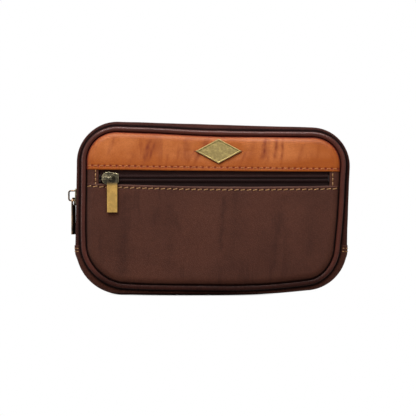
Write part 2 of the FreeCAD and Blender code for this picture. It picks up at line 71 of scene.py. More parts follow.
# %% Sizes read from the model
gusset_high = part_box("bottom_gusset")[1]
strip_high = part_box("gusset_strip_front")[1]
cover_low, cover_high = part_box("front_piping_cover")
panel_low, panel_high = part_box("front_pocket_panel")

half_width = gusset_high.x
pack_height = strip_high.z
zip_end = gusset_high.z
piping_radius = (cover_high.y - cover_low.y) / 2
seam_depth = -(cover_high.y + cover_low.y) / 2
piping_inset = half_width - cover_high.x + piping_radius
panel_inset = piping_inset + piping_radius + 0.3 * mm
front_face = -panel_low.y
back_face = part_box("back_panel")[1].y
window_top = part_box("front_yoke")[0].z
window_bottom = panel_high.z
zip_height = (window_top + window_bottom) / 2
slot_half = -strip_high.y

radius_bottom_left, radius_bottom_right = 37.3 * mm, 32.4 * mm
radius_top_right, radius_top_left = 30.1 * mm, 32.1 * mm
radius_base, base_middle = 600.0 * mm, 8.0 * mm
base_lift, top_drop = 3.4 * mm, 4.4 * mm
spread_bottom_left, spread_bottom_right = 0.6 * mm, -0.7 * mm
spread_top_right, spread_top_left = 1.0 * mm, -0.7 * mm
print(f"outline {2 * half_width / mm:.1f} x {pack_height / mm:.1f} mm")
print(f"the two seams lie {2 * seam_depth / mm:.1f} mm apart")

# %% [markdown]
# ## The outline
# The silhouette is five arcs and the straight lines that touch them: one arc for each corner and a very
# flat one for the base. A soft bag's sides are never quite parallel, so each corner may stand a little
# wider or narrower, the right end of the base lies a little higher, and the top drops a little to the
# right. It could be drawn as a Bezier curve, but a maker's outline is arcs and straights, and with those
# the exact distance to the edge is easy to work out at any point. That distance is what later rolls the
# leather down into the seam.

# %% The silhouette as arcs and straight runs
left_low, left_high = -half_width - spread_bottom_left, -half_width - spread_top_left
right_low, right_high = half_width + spread_bottom_right, half_width + spread_top_right
discs = [
    (left_low + radius_bottom_left, radius_bottom_left, radius_bottom_left),
    (base_middle, radius_base, radius_base),
    (right_low - radius_bottom_right, base_lift + radius_bottom_right, radius_bottom_right),
    (right_high - radius_top_right, pack_height - top_drop - radius_top_right, radius_top_right),
    (left_high + radius_top_left, pack_height - radius_top_left, radius_top_left),
]


def tangent_normals():
    """The outward direction of the straight run that leaves each disc."""
    normals = []
    for (ax, az, ar), (bx, bz, br) in zip(discs, discs[1:] + discs[:1]):
        length = math.hypot(bx - ax, bz - az)
        dx, dz = (bx - ax) / length, (bz - az) / length
        along = (ar - br) / length
        across = math.sqrt(1 - along * along)
        normals.append((dx * along + dz * across, dz * along - dx * across))
    return normals


def silhouette_pieces():
    """The outline's arcs and straight runs in turn, anticlockwise as seen from the front.

    An arc holds its centre's x and z, its radius, its first angle and its length. A run holds its start's x
    and z, its normal's x and z and its length.
    """
    normals = tangent_normals()
    pieces = []
    for i, (cx, cz, r) in enumerate(discs):
        first = math.atan2(normals[i - 1][1], normals[i - 1][0])
        last = math.atan2(normals[i][1], normals[i][0])
        last += 2 * math.pi if last < first else 0
        pieces.append(("arc", cx, cz, r, first, r * (last - first)))
        nx, nz = normals[i]
        ex, ez, er = discs[(i + 1) % len(discs)]
        start = (cx + nx * r, cz + nz * r)
        length = math.hypot(ex + nx * er - start[0], ez + nz * er - start[1])
        pieces.append(("run", *start, nx, nz, length))
    return pieces


silhouette = silhouette_pieces()
piece_starts = np.concatenate([[0], np.cumsum([piece[-1] for piece in silhouette])])
girth = piece_starts[-1]
print(f"the silhouette is {girth / mm:.0f} mm round")

# %% [markdown]
# Two questions are asked of the outline again and again: where is the point so many millimetres along it,
# and how far inside the edge does a point lie. Each gets one short function that answers for a whole array
# at once.

# %% Walking along the outline, and measuring in from it
def walk(distance):
    """Points (x, z) and outward directions (x, z) at distances along the silhouette."""
    distance = np.mod(np.asarray(distance, float), girth)
    index = np.clip(np.searchsorted(piece_starts, distance, side="right") - 1, 0, len(silhouette) - 1)
    points, normals = np.zeros((2, distance.size, 2))
    for i, piece in enumerate(silhouette):
        here = index == i
        step = distance[here] - piece_starts[i]
        if piece[0] == "arc":
            _, cx, cz, r, first, _ = piece
            angle = first + step / r
            normal = np.stack([np.cos(angle), np.sin(angle)], 1)
            base = np.array([cx, cz]) + r * normal
        else:
            _, sx, sz, nx, nz, _ = piece
            normal = np.tile([nx, nz], (step.size, 1))
            base = np.stack([sx - nz * step, sz + nx * step], 1)
        points[here] = base
        normals[here] = normal
    return points, normals


corner_mid = {name: piece_starts[2 * i] + silhouette[2 * i][-1] / 2
              for i, name in enumerate(["bottom_left", "base", "bottom_right", "top_right", "top_left"])}


def on_right_side(z):
    """The distance along the silhouette to height z on the right-hand side, which is nearly upright."""
    return piece_starts[5] + z - silhouette[5][2]


def on_left_side(z):
    """The same on the left-hand side, which is walked downwards."""
    return piece_starts[9] + silhouette[9][2] - z


print("corner middles at", {name: round(float(place) / mm) for name, place in corner_mid.items()})

# %% [markdown]
# ## The seams' own line
# The seams don't keep an even distance from the silhouette. The bottom gusset bulges past the piping at the
# lower corners, and at the upper ones the piping nearly reaches the edge. So the seams' line is the outline
# moved in by an inset that swells and shrinks in a few smooth places.

# %% Where the seams lie
seam_ease = -0.4 * mm
seam_swells = [  # where along the silhouette, how much further in, and how widely it spreads
    (corner_mid["bottom_left"] + 2 * mm, 2.6 * mm, 32 * mm),
    (corner_mid["base"], -0.6 * mm, 55 * mm),
    (corner_mid["bottom_right"] + 12 * mm, 2.7 * mm, 30 * mm),
    (corner_mid["top_right"] - 6 * mm, -1.1 * mm, 30 * mm),
    ((corner_mid["top_left"] + corner_mid["top_right"]) / 2, 1.0 * mm, 32 * mm),
    (corner_mid["top_left"] + 2 * mm, -0.7 * mm, 20 * mm)]


def seam_shift(distance):
    """How much further in than their even inset the seams lie, at distances along the silhouette."""
    shift = np.full(np.shape(distance), seam_ease)
    for place, amount, spread in seam_swells:
        off = np.mod(distance - place + girth / 2, girth) - girth / 2
        shift = shift + amount * np.exp(-(off / spread) ** 2)
    return shift


def seam_walk(distance, inset):
    """Points (x, z) on the line that runs with the seams, at that inset."""
    points, normals = walk(distance)
    return points - (inset + seam_shift(np.asarray(distance, float)))[:, None] * normals


def depth_inside(x, z, inset):
    """How far points lie inside the line that runs with the seams at that inset."""
    nearest, place = np.full(np.shape(x), np.inf), np.zeros(np.shape(x))
    for start, piece in zip(piece_starts, silhouette):
        if piece[0] == "run":
            _, sx, sz, nx, nz, length = piece
            away = -((x - sx) * nx + (z - sz) * nz)
            along = np.clip((z - sz) * nx - (x - sx) * nz, 0, length)
        else:
            _, cx, cz, r, first, length = piece
            along = r * np.mod(np.arctan2(z - cz, x - cx) - first, 2 * math.pi)
            away = np.where(along <= length, r - np.hypot(x - cx, z - cz), np.inf)
        place = np.where(away < nearest, start + along, place)
        nearest = np.minimum(nearest, away)
    return nearest - inset - seam_shift(place)


print("the seams move by", [round(float(seam_shift(place)) / mm, 1) for place in corner_mid.values()], "mm")

# %% [markdown]
# ## Colour by numbers
# Finishes are matched on a screen, where a colour is three numbers from 0 to 255. Blender's shaders
# want light energy instead, so one helper converts. Another adds a shader node and fills its sockets by
# name, which keeps each material short enough to read.

# %% Helpers for colours and shader nodes
def shade(red, green, blue):
    """A screen colour, 0 to 255, as the linear colour that shaders take."""
    def linear(value):
        value /= 255
        return value / 12.92 if value <= 0.04045 else ((value + 0.055) / 1.055) ** 2.4
    return (linear(red), linear(green), linear(blue), 1.0)


def plug(tree, socket, value):
    """Links a socket to another, or sets it to a plain value."""
    if isinstance(value, bpy.types.NodeSocket):
        tree.links.new(value, socket)
    else:
        socket.default_value = value


def add(tree, kind, settings=None, **sockets):
    """Adds a shader node; settings are its own properties, and sockets are filled by name."""
    node = tree.nodes.new("ShaderNode" + kind)
    for name, value in (settings or {}).items():
        setattr(node, name, value)
    for name, value in sockets.items():
        plug(tree, node.inputs[name.replace("_", " ")], value)
    return node


def calculate(tree, operation, first, second=0.0, third=0.0):
    """A Math node's result."""
    node = tree.nodes.new("ShaderNodeMath")
    node.operation = operation
    for socket, value in zip(node.inputs, (first, second, third)):
        plug(tree, socket, value)
    return node.outputs[0]


def blend_colours(tree, factor, first, second):
    """A colour Mix node's result."""
    node = tree.nodes.new("ShaderNodeMix")
    node.data_type = "RGBA"
    for index, value in ((0, factor), (6, first), (7, second)):
        plug(tree, node.inputs[index], value)
    return node.outputs[2]


def stretch(tree, value, low, high, to_low=0.0, to_high=1.0):
    """A value's range from low to high, spread over another range and held at its ends."""
    node = tree.nodes.new("ShaderNodeMapRange")
    node.interpolation_type = "SMOOTHSTEP"
    for socket, number in zip(node.inputs, (value, low, high, to_low, to_high)):
        plug(tree, socket, number)
    return node.outputs[0]


print("a mid grey is", round(shade(128, 128, 128)[0], 3), "in light energy")

# %% Helpers for groups and materials
def new_group(name, inputs, outputs):
    """An empty shader node group with named float or vector inputs and outputs."""
    tree = bpy.data.node_groups.new(name, "ShaderNodeTree")
    for socket, (kind, default) in inputs.items():
        made = tree.interface.new_socket(socket, in_out="INPUT", socket_type="NodeSocket" + kind)
        if default is not None:
            made.default_value = default
    for socket, kind in outputs.items():
        tree.interface.new_socket(socket, in_out="OUTPUT", socket_type="NodeSocket" + kind)
    return tree, tree.nodes.new("NodeGroupInput").outputs, tree.nodes.new("NodeGroupOutput").inputs


def place_group(tree, group, **sockets):
    """Puts a node group into a material with its own values."""
    node = tree.nodes.new("ShaderNodeGroup")
    node.node_tree = group
    for name, value in sockets.items():
        plug(tree, node.inputs[name.replace("_", " ")], value)
    return node.outputs


def new_material(name, **principled):
    """A material whose Principled shader has the given plain values, with its tree and that shader."""
    material = bpy.data.materials.new(name)
    material.use_nodes = True
    tree = material.node_tree
    shader = tree.nodes["Principled BSDF"]
    for socket, value in principled.items():
        shader.inputs[socket.replace("_", " ")].default_value = value
    return material, tree, shader


def place_on_surface(tree):
    """Coordinates that are fixed to the object, in metres."""
    return tree.nodes.new("ShaderNodeTexCoord").outputs["Object"]


def dress(tree, shader, colour, roughness, height, bump, depth):
    """Gives a shader its colour and roughness, and a relief of that strength and depth from a height."""
    plug(tree, shader.inputs["Base Color"], colour)
    plug(tree, shader.inputs["Roughness"], roughness)
    relief = add(tree, "Bump", Strength=bump, Distance=depth, Height=height)
    plug(tree, shader.inputs["Normal"], relief.outputs["Normal"])


print("group and material helpers ready")

# %% [markdown]
# ## Grain, shared by every leather
# Leather has small irregular pebbles parted by fine valleys, and a finer tooth on top. A Voronoi pattern
# measured to the cell edges gives the valleys, as long as noise first bends it out of its regularity. The
# group hands back a height for bump and a valley mask, because the valleys are also a little darker and
# duller than the pebbles.

# %% Node group: leather grain
leather_grain, grain_in, grain_out = new_group(
    "leather_grain",
    {"Place": ("Vector", None), "Pebbles": ("Float", 800.0), "Bend": ("Float", 0.0006)},
    {"Height": "Float", "Valleys": "Float"})


def build_grain(tree):
    """Fills the grain group: pebbles from bent cells, and a finer tooth on top."""
    wobble = add(tree, "TexNoise", Vector=grain_in["Place"], Scale=420.0, Detail=2.0)
    centred = add(tree, "VectorMath", {"operation": "SUBTRACT"})
    plug(tree, centred.inputs[0], wobble.outputs["Color"])
    centred.inputs[1].default_value = (0.5, 0.5, 0.5)
    scaled = add(tree, "VectorMath", {"operation": "SCALE"}, Scale=grain_in["Bend"])
    plug(tree, scaled.inputs[0], centred.outputs[0])
    bent = add(tree, "VectorMath", {"operation": "ADD"})
    plug(tree, bent.inputs[0], grain_in["Place"])
    plug(tree, bent.inputs[1], scaled.outputs[0])
    cells = add(tree, "TexVoronoi", {"feature": "DISTANCE_TO_EDGE"}, Vector=bent.outputs[0],
                Scale=grain_in["Pebbles"])
    pebble = stretch(tree, cells.outputs["Distance"], 0.0, 0.28)
    tooth = add(tree, "TexNoise", Vector=grain_in["Place"], Scale=3600.0, Detail=3.0)
    height = calculate(tree, "MULTIPLY_ADD", tooth.outputs["Fac"], 0.35, pebble)
    plug(tree, grain_out["Height"], height)
    plug(tree, grain_out["Valleys"], calculate(tree, "SUBTRACT", 1.0, pebble))


build_grain(leather_grain)
print("group:", leather_grain.name)

# %% [markdown]
# ## Clouds and creases
# A drum-dyed hide is never one colour. It has soft clouds where the dye took differently, and thin dark
# lines where the skin creased before dyeing. The clouds are slow noise. A crease is a thin band where a
# second noise, stretched along the hide, passes through its middle value; a third noise decides where
# creases are allowed at all.

# %% Node group: clouds and creases
hide_marks, marks_in, marks_out = new_group(
    "hide_marks",
    {"Place": ("Vector", None), "Cloud Size": ("Float", 22.0), "Across": ("Float", 60.0),
     "Along": ("Float", 9.0), "Width": ("Float", 0.03), "Spread": ("Float", 0.5)},
    {"Clouds": "Float", "Creases": "Float"})


def build_marks(tree):
    """Fills the marks group: clouds from one noise, creases where a drawn-out one passes its middle."""
    cloud = add(tree, "TexNoise", Vector=marks_in["Place"], Scale=marks_in["Cloud Size"], Detail=4.0,
                Roughness=0.55)
    plug(tree, marks_out["Clouds"], stretch(tree, cloud.outputs["Fac"], 0.32, 0.68))
    parts = add(tree, "SeparateXYZ", Vector=marks_in["Place"])
    drawn = add(tree, "CombineXYZ")
    for axis, squeeze in (("X", "Across"), ("Y", "Along"), ("Z", "Along")):
        plug(tree, drawn.inputs[axis], calculate(tree, "MULTIPLY", parts.outputs[axis], marks_in[squeeze]))
    lines = add(tree, "TexNoise", Vector=drawn.outputs[0], Scale=1.0, Detail=5.0, Roughness=0.6,
                Distortion=0.6)
    off_middle = calculate(tree, "ABSOLUTE", calculate(tree, "SUBTRACT", lines.outputs["Fac"], 0.5))
    thin = calculate(tree, "SUBTRACT", 1.0, stretch(tree, off_middle, 0.0, marks_in["Width"]))
    allowed = add(tree, "TexNoise", Vector=marks_in["Place"], Scale=34.0, Detail=1.0)
    sure = calculate(tree, "ADD", marks_in["Spread"], 0.14)
    where = stretch(tree, allowed.outputs["Fac"], marks_in["Spread"], sure)
    plug(tree, marks_out["Creases"], calculate(tree, "MULTIPLY", thin, where))


build_marks(hide_marks)
print("group:", hide_marks.name)

# %% [markdown]
# ## One recipe for leather
# Every leather here is the same stack: a base colour, darkened in clouds, creases and grain valleys, under
# a thin waxy skin. Only the numbers differ, so the recipe is a function. Most leathers are dull, with a
# weak shine; the piping is rubbed smooth, so it alone gets a coat, which adds a small bright highlight
# inside the wide soft one. Grooves get painted shade, from an ambient occlusion node, and are duller too.
# Marks that belong to one place, such as a long streak or a row of needle holes, are painted on a piece's
# points and read here by name: streaks take the crease colour, tone takes the dark colour, and needle holes
# and the painted shade along seams, which share one attribute, are as dark and dull as a groove.

# %% The leather recipe
def painted(tree, name):
    """A number that a piece's points carry, or 0 where they carry none."""
    return add(tree, "Attribute", {"attribute_name": name}).outputs["Fac"]


def crevices(tree, reach=2.5 * mm):
    """How closely a place is hemmed in by others, from 0 in the open to 1 deep in a groove."""
    open_sky = add(tree, "AmbientOcclusion", {"samples": 6}, Distance=reach).outputs["AO"]
    return stretch(tree, open_sky, 0.75, 0.25)


def leather(name, base, dark, vein, *, clouds=0.7, veins=0.3, across=60.0, along=9.0, width=0.03,
            pebbles=800.0, bump=0.5, rough=0.45, coat=0.0, cloud_size=22.0, shine=0.1, mottle=0.3):
    """A leather: base colour, cloud colour, and the colour of creases, needle holes and painted shade."""
    material, tree, shader = new_material(name, Coat_Roughness=0.25, Specular_IOR_Level=shine)
    where = place_on_surface(tree)
    grain = place_group(tree, leather_grain, Place=where, Pebbles=pebbles)
    marks = place_group(tree, hide_marks, Place=where, Cloud_Size=cloud_size, Across=across, Along=along,
                        Width=width)
    clouded = blend_colours(tree, calculate(tree, "MULTIPLY", marks["Clouds"], clouds), base, dark)
    veined = blend_colours(tree, calculate(tree, "MULTIPLY", marks["Creases"], veins), clouded, vein)
    fine = add(tree, "TexNoise", Vector=where, Scale=300.0, Detail=4.0, Roughness=0.7)
    spotted = blend_colours(tree, stretch(tree, fine.outputs["Fac"], 0.4, 0.75, 0.0, mottle), veined, dark)
    streaked = blend_colours(tree, painted(tree, "streaks"), spotted, vein)
    toned = blend_colours(tree, painted(tree, "tone"), streaked, dark)
    # Painted shade: grooves found by ambient occlusion and shade painted along seams darken the colour,
    # with grain valleys and needle holes.
    pits_and_painted_shade = calculate(tree, "MULTIPLY_ADD", grain["Valleys"], 0.35, painted(tree, "holes_and_shade"))
    hollows_and_shade = calculate(tree, "MULTIPLY_ADD", crevices(tree), 0.9, pits_and_painted_shade)
    hollows_and_shade = calculate(tree, "MINIMUM", hollows_and_shade, 1.0)
    if coat:
        exposed = calculate(tree, "SUBTRACT", 1.0, hollows_and_shade)
        plug(tree, shader.inputs["Coat Weight"], calculate(tree, "MULTIPLY", exposed, coat))
    dullness = calculate(tree, "MULTIPLY_ADD", hollows_and_shade, 0.45, rough)
    dullness = calculate(tree, "MULTIPLY_ADD", marks["Clouds"], 0.06, dullness)
    height = calculate(tree, "MULTIPLY_ADD", marks["Creases"], -0.8, grain["Height"])
    dress(tree, shader, blend_colours(tree, hollows_and_shade, toned, vein), dullness, height, bump, 0.12 * mm)
    return material


tan_leather = leather(
    "tan_leather", shade(214, 130, 72), shade(164, 82, 18), shade(108, 34, 20), clouds=0.74, across=52.0,
    along=8.0, width=0.06, pebbles=1500.0, bump=0.25, rough=0.4, cloud_size=30.0)
brown_leather = leather(
    "brown_leather", shade(86, 50, 38), shade(68, 37, 27), shade(38, 18, 13), across=40.0, along=6.0,
    width=0.05, pebbles=850.0, bump=0.6, shine=0.06)
dark_leather = leather(
    "dark_leather", shade(66, 37, 31), shade(46, 24, 20), shade(22, 9, 8), pebbles=1100.0, bump=0.35,
    rough=0.35)
print("leathers:", tan_leather.name, brown_leather.name, dark_leather.name)

# %% [markdown]
# ## Woven cloth for tapes and linings
# Plain weave is two sets of threads that take turns on top. Two sine waves at right angles give the two
# sets, and their product switches which one is up. It needs a direction across and a direction along, so
# the group takes both as vectors; the same weave then lies right on a front or a side.

# %% Node group: weave
weave, weave_in, weave_out = new_group(
    "weave",
    {"Place": ("Vector", None), "Warp": ("Vector", (1.0, 0.0, 0.0)), "Weft": ("Vector", (0.0, 0.0, 1.0)),
     "Threads": ("Float", 2000.0)},
    {"Height": "Float", "Fuzz": "Float"})


def build_weave(tree):
    """Fills the weave group: two sets of threads that pass over and under each other, with fuzz."""
    def wave(direction, phase):
        along = add(tree, "VectorMath", {"operation": "DOT_PRODUCT"})
        plug(tree, along.inputs[0], weave_in["Place"])
        plug(tree, along.inputs[1], direction)
        turns = calculate(tree, "MULTIPLY", along.outputs["Value"], weave_in["Threads"])
        return calculate(tree, "SINE", calculate(tree, "MULTIPLY_ADD", turns, math.pi, phase))
    over = calculate(tree, "MULTIPLY", wave(weave_in["Warp"], 0.0), wave(weave_in["Weft"], 0.0))
    sides = [calculate(tree, "ABSOLUTE", wave(weave_in[way], math.pi / 2)) for way in ("Warp", "Weft")]
    ribs = calculate(tree, "ADD", *sides)
    height = calculate(tree, "MULTIPLY_ADD", ribs, -0.3, calculate(tree, "MULTIPLY", over, 0.5))
    plug(tree, weave_out["Height"], height)
    fuzz = add(tree, "TexNoise", Vector=weave_in["Place"], Scale=1500.0, Detail=3.0)
    plug(tree, weave_out["Fuzz"], fuzz.outputs["Fac"])


build_weave(weave)
print("group:", weave.name)

# %% Cloth materials
def cloth(name, light, dark, threads, warp=(1, 0, 0), weft=(0, 0, 1)):
    """A woven material between two colours; warp and weft are the directions of its threads."""
    material, tree, shader = new_material(name, Specular_IOR_Level=0.05)
    woven = place_group(tree, weave, Place=place_on_surface(tree), Warp=warp, Weft=weft, Threads=threads)
    fuzz = calculate(tree, "MULTIPLY", woven["Fuzz"], 0.9)
    shading = calculate(tree, "MULTIPLY_ADD", woven["Height"], 0.5, fuzz)
    lit = blend_colours(tree, stretch(tree, shading, 0.0, 0.8), dark, light)
    # Painted shade: crevices found by ambient occlusion, and shade painted on a piece, darken the cloth.
    painted_cloth_shade = calculate(tree, "ADD", crevices(tree, 2.0 * mm), painted(tree, "holes_and_shade"))
    colour = blend_colours(tree, calculate(tree, "MINIMUM", painted_cloth_shade, 1.0), lit, shade(8, 5, 5))
    dullness = calculate(tree, "MULTIPLY_ADD", woven["Fuzz"], 0.15, 0.77)
    dress(tree, shader, colour, dullness, woven["Height"], 0.6, 0.15 * mm)
    return material


slanted, deepwise = (0.6, 0, 0.8), (0, 1, 0)
tape_light, tape_dark = shade(50, 32, 29), shade(24, 15, 14)
lining_light, lining_dark = shade(92, 76, 64), shade(52, 41, 34)
front_tape_cloth = cloth("front_tape_cloth", shade(58, 34, 31), shade(30, 17, 16), 1000.0)
main_tape_cloth = cloth("main_tape_cloth", tape_light, tape_dark, 1000.0, slanted, deepwise)
lining_cloth = cloth("lining_cloth", lining_light, lining_dark, 1600.0)
side_lining_cloth = cloth("side_lining_cloth", lining_light, lining_dark, 1600.0, slanted, deepwise)
print("cloths:", front_tape_cloth.name, main_tape_cloth.name, lining_cloth.name, side_lining_cloth.name)

# %% [markdown]
# ## Thread, nylon, board and cord
# Four plainer stuffs have one thing in common: a fine fleck that changes their colour, their gloss and
# their relief together. In waxed thread it is the fibre, in the nylon of the zip's end stops the flow of
# the moulding, in stiffener board the pulp, and in the cord inside the piping the foam. So one function
# makes them all.

# %% Flecked materials
def flecked(name, low, high, *, scale, rough, detail=3.0, soft=0.5, span=None, swing=0.2, bump=0.3,
            depth=0.05 * mm, shine=0.2):
    """A material between two colours; span is the part of the noise that the change of colour takes up."""
    material, tree, shader = new_material(name, Specular_IOR_Level=shine)
    fleck = add(tree, "TexNoise", Vector=place_on_surface(tree), Scale=scale, Detail=detail, Roughness=soft)
    fleck = fleck.outputs["Fac"]
    colour = blend_colours(tree, stretch(tree, fleck, *span) if span else fleck, low, high)
    dress(tree, shader, colour, calculate(tree, "MULTIPLY_ADD", fleck, swing, rough), fleck, bump, depth)
    return material


fibre = {"scale": 2600.0, "rough": 0.4, "span": (0.3, 0.7), "swing": 0.25, "bump": 0.4}
gold_thread = flecked("gold_thread", shade(124, 84, 46), shade(180, 134, 84), **fibre)
tan_thread = flecked("tan_thread", shade(150, 78, 30), shade(196, 122, 62), **fibre)
stop_nylon = flecked("coil_nylon", shade(20, 14, 14), shade(34, 24, 23), scale=700.0, rough=0.32,
                     depth=0.04 * mm, shine=0.1)
pulp = {"scale": 900.0, "rough": 0.75, "detail": 5.0, "soft": 0.7, "span": (0.45, 0.65), "depth": 0.08 * mm}
grey_board = flecked("grey_board", shade(150, 138, 120), shade(110, 98, 82), **pulp)
foamed_cord = flecked("foamed_cord", shade(226, 224, 218), shade(190, 188, 182), **pulp)
flecked_ones = (gold_thread, tan_thread, stop_nylon, grey_board, foamed_cord)
print("flecked:", ", ".join(made.name for made in flecked_ones))

# %% [markdown]
# ## Antique brass
# The hardware is brass that was plated dark and then tumbled, so the dark stays in the hollows and the gold
# shows on faces and edges. Pointiness tells edges from hollows on a dense mesh, and noise breaks its line
# up. That wear is a group, because the badge, the sliders, the pulls and the rivets all share it. A painted
# tone marks brass that stays tarnished, where nothing rubs it.

# %% Node group: worn edges
worn_edges, worn_in, worn_out = new_group(
    "worn_edges",
    {"Place": ("Vector", None), "Patch Size": ("Float", 240.0), "Amount": ("Float", 0.5)},
    {"Bright": "Float", "Scratches": "Float"})


def build_wear(tree):
    """Fills the wear group: bare patches that favour edges, and fine scratches."""
    pointiness = tree.nodes.new("ShaderNodeNewGeometry").outputs["Pointiness"]
    edge = stretch(tree, pointiness, 0.46, 0.56)
    patches = add(tree, "TexNoise", Vector=worn_in["Place"], Scale=worn_in["Patch Size"], Detail=5.0,
                  Roughness=0.6)
    edge_share = calculate(tree, "MULTIPLY_ADD", edge, 0.4, -0.2)
    bare = calculate(tree, "ADD", patches.outputs["Fac"], edge_share)
    limit = calculate(tree, "SUBTRACT", 1.0, worn_in["Amount"])
    low, high = (calculate(tree, way, limit, 0.14) for way in ("SUBTRACT", "ADD"))
    plug(tree, worn_out["Bright"], stretch(tree, bare, low, high))
    drawn = add(tree, "Mapping", Vector=worn_in["Place"], Scale=(6000.0, 900.0, 500.0))
    lines = add(tree, "TexNoise", Vector=drawn.outputs[0], Scale=1.0, Detail=3.0)
    plug(tree, worn_out["Scratches"], lines.outputs["Fac"])


build_wear(worn_edges)
print("group:", worn_edges.name)

# %% Brass materials
tarnish = shade(58, 53, 40)


def antique_brass(name, bright, dark, *, amount, rough, patch=240.0, stipple=0.0):
    """Dark-plated brass, tumbled until its edges show gold. Stipple pits a face that lies deep."""
    material, tree, shader = new_material(name, Specular_IOR_Level=0.5)
    where = place_on_surface(tree)
    wear = place_group(tree, worn_edges, Place=where, Patch_Size=patch, Amount=amount)
    worn = blend_colours(tree, wear["Bright"], dark, bright)
    plug(tree, shader.inputs["Metallic"], calculate(tree, "MULTIPLY_ADD", wear["Bright"], 0.12, 0.85))
    shine = calculate(tree, "MULTIPLY_ADD", wear["Bright"], -0.12, rough + 0.14)
    shine = calculate(tree, "MULTIPLY_ADD", wear["Scratches"], 0.1, shine)
    height = wear["Scratches"]
    if stipple:
        pits = add(tree, "TexVoronoi", {"feature": "SMOOTH_F1"}, Vector=where, Scale=1500.0)
        height = calculate(tree, "MULTIPLY_ADD", pits.outputs["Distance"], stipple, height)
    colour = blend_colours(tree, painted(tree, "tone"), worn, tarnish)
    dress(tree, shader, colour, shine, height, 0.35, 0.05 * mm)
    return material


slider_brass = antique_brass("slider_brass", shade(136, 126, 98), shade(46, 42, 32), amount=0.46, rough=0.3)
pull_brass = antique_brass("pull_brass", shade(172, 136, 74), shade(138, 110, 58), amount=0.5, rough=0.28)
side_brass = antique_brass("side_brass", shade(112, 88, 66), shade(40, 32, 25), amount=0.42, rough=0.26,
                           patch=140.0)
badge_brass = antique_brass("badge_brass", shade(136, 120, 76), shade(106, 92, 56), amount=0.52, rough=0.36,
                            patch=420.0, stipple=3.0)
print("brasses:", slider_brass.name, pull_brass.name, side_brass.name, badge_brass.name)

# %% [markdown]
# ## Pieces that keep their own shape
# The stiffener boards and the badge's backing plate are out of sight, and the front zip's end stops are
# small. Their shapes in the engineering model are good enough, so they only get honest finishes.

# %% Finishes for the boards, the backing plate and the end stops
def finish_node(node, material):
    """Gives a piece of the engineering model a better finish and leaves its shape alone."""
    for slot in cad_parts[node].material_slots:
        slot.material = material


finish_node("front_board", grey_board)
finish_node("back_board", grey_board)
finish_node("badge_backing", slider_brass)
finish_node("front_zip_stops", stop_nylon)
print("boards, backing plate and end stops finished")

# %% [markdown]
# ## From rows of points to a mesh
# Nearly every skin here is a sheet of points in rows and columns, worked out with arrays and then turned
# into quads. A modelling kit could do the same with extrudes and loop cuts, but rows and columns let a
# stitch line or a pucker be one more term in a sum.

# %% Mesh helpers
def object_from(name, vertices, faces, material, body):
    """A smooth-shaded object in the scene; it rides on a body, unless none is given."""
    mesh = bpy.data.meshes.new(name)
    mesh.from_pydata([tuple(point) for point in vertices], [], [tuple(face) for face in faces])
    mesh.polygons.foreach_set("use_smooth", [True] * len(mesh.polygons))
    mesh.materials.append(material)
    made = bpy.data.objects.new(name, mesh)
    bpy.context.scene.collection.objects.link(made)
    if body:
        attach(made, body)
    return made


def grid_faces(rows, columns, wrap_rows=False, wrap_columns=False, flip=False):
    """Quads that join a grid of points; a wrapped direction joins its last line to its first."""
    i = np.arange(rows if wrap_rows else rows - 1)[:, None]
    j = np.arange(columns if wrap_columns else columns - 1)[None, :]
    up, right = (i + 1) % rows, (j + 1) % columns
    corners = [i * columns + j, i * columns + right, up * columns + right, up * columns + j]
    if flip:
        corners.reverse()
    return np.stack([np.broadcast_to(corner, (i.size, j.size)).ravel() for corner in corners], 1)


def paint(made, name, values):
    """Gives each point of a piece a number from 0 to 1 that its material can read."""
    numbers = made.data.attributes.new(name, "FLOAT", "POINT").data
    numbers.foreach_set("value", np.clip(np.ravel(values), 0, 1).astype(np.float32))


def ripple(a, b, size, seed):
    """Smooth noise from -1 to 1 over two arrays of coordinates, with waves of about that size."""
    flat = [noise.noise(Vector((p / size, q / size, seed))) for p, q in zip(np.ravel(a), np.ravel(b))]
    return np.reshape(flat, np.shape(a))


def smooth_step(value, low, high):
    """Runs smoothly from 0 at the low value to 1 at the high one."""
    t = np.clip((value - low) / (high - low), 0, 1)
    return t * t * (3 - 2 * t)


print("mesh helpers ready")

# %% [markdown]
# ## The front skin
# The front bulges a little: it leaves the seam steeply, rounds over and runs nearly flat. A quarter of a
# squarish ellipse, driven by the distance to the edge, gives that roll. Slow noise adds the give of leather
# over board, and the badge pulls the yoke in where its prongs are clenched. A row of stitches pulls a
# groove, which is one more term.

# %% How far the front leather stands out
badge_low, badge_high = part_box("badge")
badge_centre = (badge_low + badge_high) / 2
badge_half = (badge_high - badge_low) / 2
front_roll = 6.2 * mm
back_roll = 4.2 * mm


def rolled(inside, width, rise):
    """How far leather has risen above its seam, at a distance in from the edge."""
    t = np.clip(1 - inside / width, 0, 1)
    return rise * np.sqrt(1 - t ** 2.5)


def badge_share(x, z):
    """How far out points lie from the badge's middle, as a share of the way to its diamond edge."""
    return np.abs(x - badge_centre.x) / badge_half.x + np.abs(z - badge_centre.z) / badge_half.z


def lip(inside, radius):
    """How far a folded edge has dropped, at a distance in from the fold."""
    t = np.clip(1 - inside / radius, 0, 1)
    return radius * (1 - np.sqrt(1 - t ** 2))


def front_rise(x, z):
    """The front skin's distance in front of the seams."""
    inside = depth_inside(x, z, panel_inset)
    give = 0.22 * mm * ripple(x, z, 30 * mm, 3.0) + 0.1 * mm * ripple(x, z * 0.3, 9 * mm, 8.0)
    rise = rolled(inside, front_roll, front_face - seam_depth) + give * smooth_step(inside, 1 * mm, 12 * mm)
    return rise - 0.45 * mm * (1 - smooth_step(badge_share(x, z), 0.9, 1.7))


print("front stands out", round((front_face - seam_depth) / mm, 1), "mm from its seam")

# %% What stitches and seams do to leather
row_pitch = 4.7 * mm


